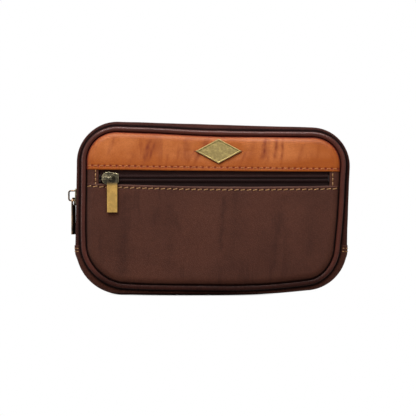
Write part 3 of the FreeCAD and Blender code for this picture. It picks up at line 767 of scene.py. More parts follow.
def needle_holes(away, along, pitch):
    """Dark spots where the thread goes down between two stitches of a row."""
    from_hole = (np.mod(along / pitch, 1) - 0.5) * pitch
    return np.exp(-(away / (0.8 * mm)) ** 2 - (from_hole / (0.85 * mm)) ** 2)


def seam_shadow(x, z):
    """Painted shade that darkens the leather where it dives into the seam."""
    return np.exp(-(np.clip(depth_inside(x, z, panel_inset), 0, None) / (0.8 * mm)) ** 2)


def stitch_groove(away, along, pitch):
    """How deep a row of stitches pulls the leather in, with a pucker between one stitch and the next."""
    pucker = 0.7 - 0.3 * np.cos(2 * math.pi * along / pitch)
    return 0.32 * mm * np.exp(-(away / (0.8 * mm)) ** 2) * pucker


print("stitches pull the leather in by", round(stitch_groove(0, row_pitch / 2, row_pitch) / mm, 2), "mm")

# %% [markdown]
# ## Cutting the front into its panels
# The yoke and the pocket panel each have three sides on the outline and one folded edge beside the zip. A
# Coons patch fills such a four-sided shape with an even grid: it blends the two pairs of opposite edges and
# takes away what was counted twice. The folded edges aren't dead straight: the pocket's mouth sags a little
# in the middle, as leather does where nothing holds it.

# %% A grid between four edges
def crowded(count, share=0.6):
    """Values from 0 to 1 that crowd towards both ends."""
    u = np.linspace(0, 1, count)
    return u - share * np.sin(2 * math.pi * u) / (2 * math.pi)


def coons(bottom, right, top, left, rows, columns):
    """Points (x, z) between four edges, each a function of an array from 0 to 1; rows go up."""
    s, t = crowded(columns), crowded(rows)
    low, high, near, far = bottom(s), top(s), left(t), right(t)
    s, t = s[None, :, None], t[:, None, None]
    grid = (1 - t) * low[None] + t * high[None] + (1 - s) * near[:, None] + s * far[:, None]
    corners = (1 - t) * ((1 - s) * low[0] + s * low[-1]) + t * ((1 - s) * high[0] + s * high[-1])
    grid = grid - corners
    return grid[..., 0], grid[..., 1]


def even_walk(distance, inset):
    """Points (x, z) at an even inset from the silhouette."""
    points, normals = walk(distance)
    return points - inset * normals


def outline_edge(first, last, inset, follow=seam_walk):
    """An edge of a patch that follows the outline between two distances along it."""
    return lambda u: follow(first + (last - first) * u, inset)


print("first steps of a side of ten:", crowded(11)[1:4].round(3))

# %% The folded edges beside the front zip
def yoke_edge(x):
    """The height of the yoke's folded edge, which drops a little to the right."""
    u = x / half_width
    wave = 0.12 * mm * ripple(x, 0 * x, 26 * mm, 5.0)
    return window_top + 0.1 * mm - 0.95 * mm * u + 0.35 * mm * u ** 2 + wave


def pocket_edge(x):
    """The height of the pocket's folded edge, which drops to the right and sags in the middle."""
    u = x / half_width
    wave = 0.1 * mm * ripple(x, 0 * x, 22 * mm, 6.0)
    return window_bottom + 1.1 * mm * (1 - u) - 2.1 * mm * (1 - u ** 2) + wave


def edge_across(height, inset):
    """An edge of a patch that runs from side to side at a height that depends on x."""
    left = seam_walk([on_left_side(height(-half_width))], inset)[0, 0]
    right = seam_walk([on_right_side(height(half_width))], inset)[0, 0]
    def edge(u):
        x = left + (right - left) * u
        return np.stack([x, height(x)], 1)
    return edge


edge_drop = yoke_edge(-half_width) - yoke_edge(half_width)
print("the yoke's edge drops", round(edge_drop / mm, 1), "mm")

# %% Patches above an edge, below it, or over the whole outline
def upper_patch(inset, height, rows, columns):
    """The part of the outline above an edge that runs across it."""
    right, left = on_right_side(height(half_width)), on_left_side(height(-half_width))
    return coons(edge_across(height, inset), outline_edge(right, corner_mid["top_right"], inset),
                 outline_edge(corner_mid["top_left"], corner_mid["top_right"], inset),
                 outline_edge(left, corner_mid["top_left"], inset), rows, columns)


def lower_patch(inset, height, rows, columns):
    """The part of the outline below an edge that runs across it."""
    right, left = on_right_side(height(half_width)), on_left_side(height(-half_width))
    return coons(outline_edge(corner_mid["bottom_left"], corner_mid["bottom_right"], inset),
                 outline_edge(corner_mid["bottom_right"], right, inset), edge_across(height, inset),
                 outline_edge(corner_mid["bottom_left"] + girth, left, inset), rows, columns)


def whole_patch(inset, rows, columns, follow=seam_walk):
    """The whole outline as one patch, with a corner in the middle of each round corner."""
    low_left, low_right, top_right, top_left = (
        corner_mid[name] for name in ("bottom_left", "bottom_right", "top_right", "top_left"))
    ways = ((low_left, low_right), (low_right, top_right), (top_left, top_right),
            (low_left + girth, top_left))
    return coons(*(outline_edge(first, last, inset, follow) for first, last in ways), rows, columns)


whole_width = np.ptp(whole_patch(0, 5, 5, even_walk)[0])
print("patches ready; the widest is", round(whole_width / mm, 1), "mm wide")

# %% [markdown]
# ## Yoke and pocket panel
# Both leathers are tucked a little under the piping, and both end in a fold, so a last row of points goes
# straight in and shows the leather's thickness. The tan hide has long soft streaks that run up the pack:
# each one has a place, a lean and a width, and noise makes it wander and fade. Tone darkens the tan towards
# its edges and its right end; along the seam it is painted shade. Painted shade also darkens both leathers
# where they dive into the seam, and a painted shadow lies under the badge's lower edges.

# %% Folds and streaks
tuck = 0.8 * mm
yoke_row_up = 2.75 * mm
yoke_row_drop = 0.5 * mm
pocket_row_down = 2.2 * mm
fold_radius = 1.0 * mm
hem_depth = 1.5 * mm


def skin(name, x, y, z, material, body, flip=False):
    """A sheet of points in rows and columns as a smooth object."""
    points = np.stack([x, y, z], -1)
    return object_from(name, points.reshape(-1, 3), grid_faces(*x.shape, flip=flip), material, body)


def with_hem(x, y, z, row, depth):
    """Repeats the first or last row deeper in, so that a folded edge shows its thickness."""
    hems = (a[row][None] for a in (x, y - depth, z))
    return [np.concatenate([hem, a] if row == 0 else [a, hem]) for a, hem in zip((x, y, z), hems)]


def streak(x, z, place, lean, width, low, high, seed):
    """A soft dark streak up the hide that wanders, swells and fades, between two heights."""
    rise = z - zip_height
    middle = place + lean * (rise - 20 * mm) + 0.9 * mm * ripple(z, 0 * z, 8 * mm, seed)
    broad = 1.2 * width * (1 + 0.45 * ripple(z, 0 * z, 6 * mm, seed + 0.4))
    begun = smooth_step(rise, low - 3 * mm, low + 3 * mm)
    ended = smooth_step(rise, high - 3 * mm, high + 3 * mm)
    patchy = 0.75 + 0.5 * ripple(x * 2, z, 4 * mm, seed + 0.8)
    return begun * (1 - ended) * patchy * np.exp(-((x - middle) / broad) ** 2)


def gather(x, z, marks):
    """Several streaks, given as place, lean, width, lowest and highest point in mm, and strength."""
    total = np.zeros_like(x)
    for number, (place, lean, width, low, high, strength) in enumerate(marks):
        total += strength * streak(x, z, place * mm, lean, width * mm, low * mm, high * mm, 3.1 * number)
    return total


yoke_streaks = [
    (-79, 0.35, 1.4, 18, 34, 0.4), (-50, 0.25, 1.6, 9, 30, 0.85), (-46, 0.3, 0.9, 14, 27, 0.7),
    (-60, 0.2, 2.0, 4, 20, 0.3), (-34, 0.15, 0.9, 4, 18, 0.5), (-20, 0.1, 2.4, 12, 34, 0.55),
    (-26, 0.1, 1.0, 6, 24, 0.3), (-9, 0.55, 1.7, 5, 32, 0.85), (-14, 0.5, 1.1, 5, 22, 0.55),
    (25, 0.3, 1.0, 4, 20, 0.5), (30, 0.2, 2.4, 6, 30, 0.3), (39.5, 0.15, 1.7, 14, 33, 0.95),
    (43, 0.1, 0.9, 8, 30, 0.4), (49, 0.05, 1.3, 15, 34, 1.0), (53.5, 0.1, 0.8, 9, 32, 0.8),
    (68, 0.2, 1.6, 10, 28, 0.45), (81, 0.1, 1.4, 8, 30, 0.4)]
pocket_streaks = [
    (-64, 0.05, 4.0, -75, -12, 0.45), (-30, 0.03, 3.0, -70, -20, 0.2), (12, 0.08, 1.6, -55, -14, 0.5),
    (20, 0.05, 5.0, -70, -10, 0.2), (58, 0.12, 4.0, -70, -12, 0.22), (78, 0.05, 3.0, -60, -20, 0.2)]
print(len(yoke_streaks), "streaks in the tan hide,", len(pocket_streaks), "in the brown one")

# %% Yoke
x, z = upper_patch(panel_inset - tuck, yoke_edge, 84, 380)
away = z - yoke_edge(x)
row_away = away - yoke_row_up + yoke_row_drop * x / half_width
out = seam_depth + front_rise(x, z) - lip(away, fold_radius) - stitch_groove(row_away, x, row_pitch)
x, out, z = with_hem(x, out, z, 0, hem_depth)
yoke = skin("yoke", x, -out, z, tan_leather, "front_shell")
row_away = np.concatenate([row_away[:1], row_away])
# Painted shadow below the badge's lower edges.
badge_shadow = np.exp(-((badge_share(x, z) - 1.02) / 0.06) ** 2) * (z < badge_centre.z)
# Needle holes, painted shade by the seam, and the painted shadow below the badge.
holes_and_shade = needle_holes(row_away, x, row_pitch) + 0.9 * seam_shadow(x, z) + 0.8 * badge_shadow
at_right = smooth_step(x, 40 * mm, 95 * mm)
at_left = 1 - smooth_step(x, -95 * mm, -70 * mm)
by_fold = 1 - smooth_step(z - window_top, 4 * mm, 13 * mm)
# Painted shade in the tone where the leather rolls down into the seam.
edge_shade = 1 - smooth_step(depth_inside(x, z, panel_inset), 0, 7 * mm)
paint(yoke, "holes_and_shade", holes_and_shade)
paint(yoke, "streaks", gather(x, z, yoke_streaks))
paint(yoke, "tone", 0.6 * at_right + 0.3 * at_left + 0.75 * by_fold + 0.6 * edge_shade)
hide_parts("front_yoke")
print("yoke", len(yoke.data.vertices), "points")

# %% Pocket panel
x, z = lower_patch(panel_inset - tuck, pocket_edge, 130, 380)
away = pocket_edge(x) - z
row_away = away - pocket_row_down
out = seam_depth + front_rise(x, z) - lip(away, fold_radius) - stitch_groove(row_away, x, row_pitch)
x, out, z = with_hem(x, out, z, -1, hem_depth)
pocket_panel = skin("pocket_panel", x, -out, z, brown_leather, "front_shell")
row_away = np.concatenate([row_away, row_away[-1:]])
# Needle holes, and painted shade where the leather dives into the seam.
paint(pocket_panel, "holes_and_shade", 0.8 * needle_holes(row_away, x, row_pitch) + seam_shadow(x, z))
paint(pocket_panel, "streaks", gather(x, z, pocket_streaks))
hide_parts("front_pocket_panel")
print("pocket panel", len(pocket_panel.data.vertices), "points")

# %% [markdown]
# The zip's window is closed at each end by a small tab of the brown leather. The tabs lie under both folds,
# so they sit lower, and their inner edges are folded too.

# %% The two tabs
tab_row_in = 2.4 * mm
tab_pitch = 3.4 * mm
tab_sunk = 0.75 * mm
tab_overlap = 1.5 * mm


def zip_tab(name, side, edge, node):
    """A tab from the seam to its folded edge; side is -1 for the left one."""
    place = on_right_side(zip_height) if side > 0 else on_left_side(zip_height)
    outer = seam_walk([place], panel_inset - tuck)[0, 0]
    x = outer + (edge - outer) * crowded(60)[None, :] + np.zeros((40, 1))
    low, high = pocket_edge(x) - tab_overlap, yoke_edge(x) + tab_overlap
    z = low + (high - low) * np.linspace(0, 1, 40)[:, None]
    away = side * (x - edge)
    out = seam_depth + front_rise(x, z) - tab_sunk - lip(away, 0.8 * mm)
    out -= stitch_groove(away - tab_row_in, z, tab_pitch)
    x, out, z = (np.concatenate([a, a[:, -1:] + d], 1) for a, d in ((x, 0), (out, -1.2 * mm), (z, 0)))
    tab = skin(name, x, -out, z, brown_leather, "front_shell", flip=side > 0)
    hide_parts(node)


window_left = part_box("zip_tab_left")[1].x
window_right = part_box("zip_tab_right")[0].x
zip_tab("left_tab", -1, window_left, "zip_tab_left")
zip_tab("right_tab", 1, window_right, "zip_tab_right")
print("window from", round(window_left / mm, 1), "to", round(window_right / mm, 1), "mm")

# %% [markdown]
# ## Stitches
# Each stitch is thread that comes up through one hole and goes down through the next. It arches over the
# leather, its two plies twist round each other, and hand-guided rows lean a little. All the stitches of one
# row are one mesh. The yoke's stitches are short, with a wide dark hole between them; the pocket's are
# longer and lie nearly end to end.

# %% Thread from hole to hole
thread_radius = 0.36 * mm


def stitches(name, middles, along, outward, length, material, body):
    """One mesh of stitches, given their middles, directions and outward directions as rows of numbers."""
    t = np.linspace(0, 1, 11)
    turn = np.linspace(0, 2 * math.pi, 10, endpoint=False)
    across = np.cross(outward, along)
    run = (t - 0.5) * length
    arch = thread_radius * (0.65 - 1.9 * np.abs(2 * t - 1) ** 5)
    ply = thread_radius * (1 + 0.16 * np.cos(2 * turn[None, :] + 8 * t[:, None]))
    rings = (middles[:, None, None] + along[:, None, None] * run[:, None, None]
             + outward[:, None, None] * (arch[:, None] + ply * np.sin(turn))[..., None]
             + across[:, None, None] * (ply * np.cos(turn))[..., None])
    one = grid_faces(len(t), len(turn), wrap_columns=True, flip=True)
    faces = (one[None] + len(t) * len(turn) * np.arange(len(middles))[:, None, None]).reshape(-1, 4)
    return object_from(name, rings.reshape(-1, 3), faces, material, body)


def unit(vectors):
    """The same directions with a length of 1."""
    return vectors / np.linalg.norm(vectors, axis=-1, keepdims=True)


print("thread", round(2 * thread_radius / mm, 2), "mm thick")

# %% Rows across the front
def front_row(name, height, material, lean, length, node):
    """A row of stitches across the front at a height that depends on x; lean is their slope."""
    reach = half_width - panel_inset - 1.0 * mm
    x = np.arange(math.ceil(-reach / row_pitch), reach / row_pitch) * row_pitch
    z = height(x)
    out = seam_depth + front_rise(x, z) - 0.2 * mm
    middles = np.stack([x, -out, z], 1)
    slope = (front_rise(x + mm, z) - front_rise(x - mm, z)) / (2 * mm)
    along = unit(np.stack([np.ones_like(x), -slope, lean + 0.06 * ripple(x, z, 3 * mm, 2.0)], 1))
    outward = unit(np.stack([-slope, -np.ones_like(x), 0 * x], 1))
    made = stitches(name, middles, along, outward, length, material, "front_shell")
    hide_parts(node)
    print(name, len(x))


def yoke_row(x):
    """The height of the yoke's stitches."""
    return yoke_edge(x) + yoke_row_up - yoke_row_drop * x / half_width


def pocket_row(x):
    """The height of the pocket's stitches."""
    return pocket_edge(x) - pocket_row_down


front_row("yoke_stitches", yoke_row, tan_thread, 0.1, 2.9 * mm, "yoke_stitching")
front_row("pocket_stitches", pocket_row, gold_thread, 0.22, 3.6 * mm, "pocket_stitching")

# %% Upright rows on the tabs
z = np.concatenate([np.arange(window_bottom + 1.2 * mm, window_top + 0.5 * mm, tab_pitch)] * 2)
x = np.repeat([window_left - tab_row_in, window_right + tab_row_in], len(z) // 2)
out = seam_depth + front_rise(x, z) - tab_sunk - 0.2 * mm
middles = np.stack([x, -out, z], 1)
upright, forward = (np.tile(v, (len(x), 1)) for v in ([0.0, 0.0, 1.0], [0.0, -1.0, 0.0]))
tab_stitches = stitches("tab_stitches", middles, upright, forward, 2.7 * mm, gold_thread, "front_shell")
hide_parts("tab_stitching")
print(len(x), "stitches on the tabs")

# %% [markdown]
# ## The front zip
# The zip is sewn in back to front, so its coil is behind the tape and the face shows two cloth ridges,
# ribbed where the coil's stitches bind it. Each half is a flat tape and a ridge; the two ridges interlock
# along a dark line. The lower half lies in the shade of the pocket's mouth, and painted shade makes its
# ridge and tape a little darker.

# %% Ribbed ridges and flat tapes
rib_pitch = 1.27 * mm
rib_reach = 0.4 * mm
tape_front = -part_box("front_zip_tape_upper")[0].y
ridge_low, ridge_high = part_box("front_zip_coil_upper")
ridge_rise = ridge_high.y - ridge_low.y
ridge_half = ridge_high.z - zip_height


def ribs(along, phase=0.0):
    """A rounded rib pattern from 0 to 1 along a zip."""
    return 0.5 + 0.5 * np.cos(2 * math.pi * (along / rib_pitch + phase))


def ridge_profile(count):
    """A ridge's cross-section: the distance from the zip's middle and the height over the tape."""
    t = np.linspace(0, 1, count)
    return 0.06 * mm + (ridge_half - 0.06 * mm) * t, ridge_rise * np.clip(np.sin(math.pi * t), 0, 1) ** 0.45


def rib_bulge(off):
    """How much a rib moves a ridge's points: most near its inner edge, at 1, and hardly further out."""
    return np.exp(-((off - 0.3 * mm) / rib_reach) ** 2)


# The lower half's ridge and tape get painted shade, a little darker than the upper half's.
for side, half, ridge_shade, tape_shade in ((1, "upper", 0.0, 0.0), (-1, "lower", 0.25, 0.4)):
    x = np.arange(ridge_low.x, ridge_high.x, 0.17 * mm)
    off, rise = ridge_profile(14)
    rib = ribs(x, 0.0 if side > 0 else 0.5)[None, :]
    rise = rise[:, None] * (0.8 + 0.17 * rib)
    z = zip_height + side * (off[:, None] + 0.18 * mm * rib * rib_bulge(off)[:, None]) + 0 * x
    out = tape_front + rise + 0 * x
    ridge = skin(f"front_ridge_{half}", x + 0 * z, -out, z, front_tape_cloth, "front_shell",
                 flip=side < 0)
    paint(ridge, "holes_and_shade", ridge_shade + 0 * out)
    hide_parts("front_zip_coil_" + half)
    low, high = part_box("front_zip_tape_" + half)
    x = np.linspace(low.x, high.x, 300)
    off = np.linspace(0.6 * mm, high.z - low.z, 16)[:, None]
    z = zip_height + side * off + 0 * x
    out = tape_front + 0.05 * mm + 0.1 * mm * ripple(x + 0 * z, z, 12 * mm, 4.0)
    tape = skin(f"front_tape_{half}", x + 0 * z, -out, z, front_tape_cloth, "front_shell",
                flip=side < 0)
    paint(tape, "holes_and_shade", tape_shade + 0 * out)
    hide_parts("front_zip_tape_" + half)
print("a rib every", rib_pitch / mm, "mm")

# %% [markdown]
# ## Sweeps round the pack
# Piping, gusset, tape and lining all follow the silhouette. A sweep takes distances along it and a
# cross-section: how far out from the silhouette, and how deep front to back. Given as arrays, the section
# may change along the way, which is how the piping swells at its joint and the bottom gusset's ends stand
# proud.

# %% One sweep for everything round the pack
def sweep(name, distance, out, depth, material, body, closed=False, tube=False):
    """Sweeps a cross-section; out and depth are rows of section points per place, or one row for all."""
    points, normals = walk(distance)
    out, depth = (np.broadcast_to(a, (len(distance), np.shape(a)[-1])) for a in (out, depth))
    x = points[:, :1] + normals[:, :1] * out
    z = points[:, 1:] + normals[:, 1:] * out
    vertices = np.stack([x, depth, z], -1).reshape(-1, 3)
    faces = grid_faces(*out.shape, wrap_rows=closed, wrap_columns=tube)
    return object_from(name, vertices, faces, material, body)


shells = ((-1, "front", "front_shell"), (1, "back", "back_shell"))
right_end = on_right_side(zip_end)
left_end = on_left_side(zip_end)
upper_way = np.linspace(right_end, left_end, 620)
lower_way = np.linspace(left_end, right_end + girth, 520)
whole_way = np.linspace(0, girth, 900, endpoint=False)
print(f"zip way {(left_end - right_end) / mm:.0f} mm")
print(f"bottom gusset {(lower_way[-1] - lower_way[0]) / mm:.0f} mm")

# %% [markdown]
# ## Piping
# A leather strip wraps a cord and is caught in the seam. It is nearly round, never quite even, and its two
# ends meet in a small lap, at the top in front and at the base behind. The lap is a gentle swelling with a
# step. Painted shade darkens the piping where it dips into the seam on both sides, and along the base.

# %% Front and back piping
lap_from_middle = -5 * mm
piping_joint = piece_starts[7] + silhouette[7][1] + lap_from_middle


def piping(name, side, body, node, material, lap_at, size=1.0):
    """A closed tube along the seam; side is -1 for the front."""
    turn = np.linspace(0, 2 * math.pi, 32, endpoint=False)
    uneven = 1 + 0.018 * ripple(whole_way, 0 * whole_way + side * 0.01, 14 * mm, 1.0)
    past = whole_way - lap_at
    lap = 0.08 * smooth_step(past, -9 * mm, -1 * mm) * (1 - smooth_step(past, 1.2 * mm, 1.9 * mm))
    radius = size * piping_radius * (uneven + lap)[:, None]
    sway = 0.25 * mm * ripple(whole_way, 0 * whole_way + side * 0.03, 32 * mm, 6.0) - seam_shift(whole_way)
    out = -piping_inset + sway[:, None] + radius * np.cos(turn)
    depth = side * seam_depth + radius * np.sin(turn)
    made = sweep(name, whole_way, out, depth, material, body, closed=True, tube=True)
    heights = walk(whole_way)[0][:, 1:]
    # Painted shade along the base, and on both sides where the tube dips into the seam.
    base_shade = 1 - smooth_step(heights - heights.min(), 3 * mm, 18 * mm)
    seam_side_shade = smooth_step(np.abs(np.cos(turn)), 0.78, 0.98)
    paint(made, "holes_and_shade", 0.5 * base_shade + 0.9 * seam_side_shade)
    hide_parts(node)


piping_leather = leather(
    "piping_leather", shade(90, 42, 31), shade(66, 31, 23), shade(14, 5, 4), clouds=0.6, veins=0.25,
    pebbles=1300.0, bump=0.25, rough=0.4, shine=0.04, coat=0.17)
cord_radius = piping_radius - 0.75 * mm
core = cord_radius / piping_radius
for (side, word, body), lap_at in zip(shells, (piping_joint, corner_mid["base"])):
    piping(word + "_piping", side, body, word + "_piping_cover", piping_leather, lap_at)
    piping(word + "_cord", side, body, word + "_piping_cord", foamed_cord, lap_at, size=core)
print(f"piping {2 * piping_radius / mm:.1f} mm thick round a cord of {2 * cord_radius / mm:.1f} mm")

# %% [markdown]
# ## The gusset
# Two strips flank the main zip, each with a folded edge towards it and a roll down into its seam. Below,
# one broad strip closes the bottom; its ends lap over the others, so they stand proud and carry two rows of
# stitches across. The bottom gusset crosses the hinge line, so it rides on neither body.

# %% The gusset's cross-section
gusset_flat_half = seam_depth - 8.0 * mm
gusset_roll = 7.0 * mm
roll_angle = math.radians(69.0)
leather_thickness = 1.4 * mm
seam_turn = np.array([[-0.9, -1.8], [-0.35, -0.15]]) * mm


def roll_points(count, lift=0.0):
    """The roll from the flat to the seam, then a turn under the piping.

    Gives how far out its points lie and how far from mid depth.
    """
    a = np.linspace(0, roll_angle, count)
    out = -gusset_roll + (gusset_roll + lift) * np.cos(a)
    deep = gusset_flat_half + (gusset_roll + lift) * np.sin(a)
    return np.append(out, out[-1] + seam_turn[0]), np.append(deep, deep[-1] + seam_turn[1])


def follow_seam(out, deep, distance):
    """Bends a roll inwards or outwards, so that it still ends where the seam runs."""
    share = smooth_step(np.abs(deep), gusset_flat_half - 1 * mm, seam_depth - 2 * mm)
    return out - seam_shift(distance)[:, None] * share


def fold_points(edge, count=7, radius=0.65 * mm):
    """A folded edge: from under the strip, round, and on to its face."""
    a = np.linspace(-math.pi / 2, math.pi / 2, count)
    return -radius + radius * np.sin(a), edge + radius - radius * np.cos(a)


print(f"the gusset turns {math.degrees(roll_angle):.0f} degrees towards each seam")

# %% The strips beside the main zip
def gusset_strip(name, side, body, node):
    """The strip beside half of the main zip, from folded edge to seam; side is -1 for the front."""
    fold_out, fold_deep = fold_points(slot_half)
    flat_deep = np.linspace(slot_half + 1.0 * mm, gusset_flat_half - 0.3 * mm, 14)
    roll_out, roll_deep = roll_points(14)
    deep = np.concatenate([fold_deep, flat_deep, roll_deep])
    out = np.concatenate([fold_out, 0 * flat_deep, roll_out])
    along = upper_way[:, None]
    groove = stitch_groove(deep - zip_row, along, row_pitch)
    slack = 0.16 * mm * ripple(along + 0 * deep, deep + 0 * along, 16 * mm, 9.0 + side)
    edge_wave = 0.15 * mm * ripple(along, 0 * along + side, 20 * mm, 2.5)
    off_edge = smooth_step(deep, 6 * mm, 9 * mm)
    out = follow_seam(out - groove + slack * off_edge, deep, upper_way)
    # Painted shade where the strip rolls down into its seam behind the piping.
    gusset_seam_shade = 0.9 * smooth_step(deep, seam_depth - 3.4 * mm, seam_depth - 1.6 * mm) + 0 * out
    depth = side * (deep + edge_wave * (1 - off_edge))
    if side < 0:
        out, depth, gusset_seam_shade = out[:, ::-1], depth[:, ::-1], gusset_seam_shade[:, ::-1]
    made = sweep(name, upper_way, out, depth, gusset_leather, body)
    paint(made, "holes_and_shade", gusset_seam_shade)
    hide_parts(node)


zip_row = slot_half + 2.3 * mm
gusset_leather = leather(
    "gusset_leather", shade(76, 41, 34), shade(54, 27, 23), shade(16, 6, 6), clouds=0.6, pebbles=1000.0,
    bump=0.4, shine=0.02)
gusset_strip("gusset_front", -1, "front_shell", "gusset_strip_front")
gusset_strip("gusset_back", 1, "back_shell", "gusset_strip_back")
print("gusset strips", round((seam_depth - slot_half) / mm, 1), "mm from folded edge to seam")

# %% [markdown]
# The bottom gusset is worked out as a flat section first, then lifted where its ends lap over the strips,
# pressed in along its stitches and rippled. The lift goes outwards on the flat and front to back on the
# rolls, so that the leather keeps its thickness. The points crowd near the two ends, where the most
# happens.

# %% The bottom gusset
end_rows = (2.5 * mm, 5.1 * mm)
end_pitch = 3.2 * mm
proud = 0.55 * mm
end_zone = 12.6 * mm
roll_out, roll_deep = roll_points(16)
flat_deep = np.linspace(-gusset_flat_half + 0.5 * mm, gusset_flat_half - 0.5 * mm, 34)
deep = np.concatenate([-roll_deep[::-1], flat_deep, roll_deep])
out = np.concatenate([roll_out[::-1], 0 * flat_deep, roll_out])
near_ends = np.concatenate([[0, 0.15, 0.4, 0.7], np.arange(1.0, 12.0, 0.35)]) * mm
between = np.linspace(left_end + end_zone, right_end + girth - end_zone, 460)
way = np.concatenate([left_end + near_ends, between, right_end + girth - near_ends[::-1]])
from_end = np.minimum(way - way[0], way[-1] - way)[:, None]
lift = proud * (1 - smooth_step(from_end, 6 * mm, 12 * mm)) - lip(from_end, 0.7 * mm)
lift = lift - sum(stitch_groove(from_end - row, deep, end_pitch) for row in end_rows)
lift = lift + 0.2 * mm * ripple(way[:, None] + 0 * deep, deep + 0 * way[:, None], 15 * mm, 7.0)
outward_share = np.clip((out + gusset_roll) / gusset_roll, 0, 1)
depth = deep + np.sign(deep) * lift * np.sqrt(1 - outward_share ** 2)
reach = follow_seam(out + outward_share * lift, deep, way)
points, normals = walk(way)
x, z = (points[:, k:k + 1] + normals[:, k:k + 1] * reach for k in (0, 1))
bottom_leather = leather(
    "bottom_leather", shade(92, 52, 40), shade(68, 36, 27), shade(16, 6, 5), clouds=0.6, pebbles=900.0,
    bump=0.7, rough=0.5, shine=0.04)
gusset_bottom = skin("gusset_bottom", x, depth, z, bottom_leather, None)
# Painted shade where the bottom gusset rolls down into its seams.
gusset_seam_shade = 0.9 * smooth_step(np.abs(deep), seam_depth - 3.2 * mm, seam_depth - 1.5 * mm)
paint(gusset_bottom, "holes_and_shade", gusset_seam_shade + 0 * reach)
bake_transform(gusset_bottom)
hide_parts("bottom_gusset")
print("bottom gusset", len(gusset_bottom.data.vertices), "points")

# %% Stitch rows beside the main zip
def sweep_point(distance, out, depth):
    """Points on a sweep at distances along the silhouette, so far out from it and so deep."""
    points, normals = walk(distance)
    outward = np.stack([normals[:, 0], 0 * distance, normals[:, 1]], 1)
    along = np.stack([-normals[:, 1], 0 * distance, normals[:, 0]], 1)
    middles = np.stack([points[:, 0], 0 * distance + depth, points[:, 1]], 1)
    return middles + outward * np.reshape(out, (-1, 1)), along, outward


places = np.arange(right_end + 2 * mm, left_end - 2 * mm, row_pitch)
for side, word, body in shells:
    middles, along, outward = sweep_point(places, -0.45 * mm, side * zip_row)
    along = unit(along + np.array([0, 0.1 * side, 0]))
    made = stitches(f"zip_edge_stitches_{word}", middles, along, outward, 3.2 * mm, gold_thread, body)
    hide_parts("zip_edge_stitching_" + word)
print(len(places), "stitches beside each edge of the main zip")

# %% Stitch rows across the bottom gusset's ends
across = np.arange(-5, 6) * end_pitch
turned = np.clip(np.abs(across) - gusset_flat_half, 0, None) / gusset_roll
thread_roll = gusset_roll + 0.25 * mm
section_out = -gusset_roll + thread_roll * np.cos(turned)
flat_part = np.minimum(np.abs(across), gusset_flat_half)
section_deep = np.sign(across) * (flat_part + thread_roll * np.sin(turned))
tilt = (turned * np.sign(across))[:, None]
backwards = np.array([0.0, 1.0, 0.0])
parts = []
for at in [left_end + row for row in end_rows] + [right_end + girth - row for row in end_rows]:
    distance = np.full(len(across), at)
    moved = follow_seam(section_out[None], section_deep[None], distance[:1])[0]
    middles, _, outward = sweep_point(distance, moved, section_deep)
    along = unit(backwards * np.cos(tilt) - outward * np.sin(tilt))
    parts.append((middles, along, outward * np.cos(tilt) + backwards * np.sin(tilt)))
middles, along, outward = (np.concatenate(column) for column in zip(*parts))
end_stitches = stitches("gusset_end_stitches", middles, along, outward, 2.4 * mm, gold_thread, None)
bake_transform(end_stitches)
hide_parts("gusset_end_stitching")
print(len(middles), "stitches across the gusset's ends")

# %% [markdown]
# ## The main zip
# The same two cloth ridges and tapes, this time bent round the pack. A sweep takes care of that. The ribs
# of one half fit between the ribs of the other, so the line where they meet wanders a little and lets no
# light through. The back half runs on under the bottom gusset; the front half stops above it, so that the
# front can swing away.

# %% Main zip tapes and ridges
tape_out = -leather_thickness - 0.05 * mm
overlap = 0.04 * mm
for side, word, body in shells:
    way = np.arange(right_end + 0.3 * mm, left_end - 0.3 * mm, 0.25 * mm)
    off, rise = ridge_profile(12)
    rib = ribs(way, 0.0 if side > 0 else 0.5)[:, None]
    meander = 0.3 * mm * (rib - 0.5) * rib_bulge(off)
    out = tape_out + rise * (0.8 + 0.17 * rib)
    depth = side * (off - overlap + meander)
    if side < 0:
        out, depth = out[:, ::-1], depth[:, ::-1]
    made = sweep(f"main_ridge_{word}", way, out, depth, main_tape_cloth, body)
    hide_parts("main_zip_coil_" + word)
    reach = 0.3 * mm if side < 0 else -4.5 * mm
    way = np.linspace(right_end + reach, left_end - reach, 500)
    off = np.linspace(0.6 * mm, 10.9 * mm, 16)
    out = tape_out + 0.08 * mm * ripple(way[:, None] + 0 * off, off + 0 * way[:, None], 10 * mm, 5.0)
    made = sweep(f"main_tape_{word}", way, out[:, ::side], side * off[::side], main_tape_cloth, body)
    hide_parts("main_zip_tape_" + word)
print(f"main zip {(left_end - right_end) / mm:.0f} mm long")

# %% [markdown]
# ## The back, and its belt loops
# The back is one brown panel with a tighter roll at its edge. Two leather straps are riveted to it at both
# ends and stand off between them. A strap is a rounded rectangle swept along a line whose corners were
# smoothed by repeated averaging, because thick leather can't take a sharp fold.

# %% Back panel
x, z = whole_patch(panel_inset - tuck, 110, 260)
inside = depth_inside(x, z, panel_inset)
out = seam_depth + rolled(inside, back_roll, back_face - seam_depth)
out += smooth_step(inside, 1 * mm, 12 * mm) * (-0.25 * mm + 0.2 * mm * ripple(x, z, 34 * mm, 12.0))
back_skin = skin("back_skin", x, out, z, brown_leather, "back_shell", flip=True)
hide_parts("back_panel")
print("back panel", len(back_skin.data.vertices), "points")

# %% A line with smoothed corners
def smoothed(points, rounds):
    """A line of points whose corners are cut off, again and again; its ends stay."""
    for _ in range(rounds):
        near, far = points[:-1], points[1:]
        cut = np.stack([0.75 * near + 0.25 * far, 0.25 * near + 0.75 * far], 1).reshape(-1, 2)
        points = np.concatenate([points[:1], cut, points[-1:]])
    return points


def spread_evenly(points, count):
    """The same line with its points at even steps."""
    steps = np.concatenate([[0], np.cumsum(np.linalg.norm(np.diff(points, axis=0), axis=1))])
    at = np.linspace(0, steps[-1], count)
    return np.stack([np.interp(at, steps, points[:, k]) for k in range(2)], 1)


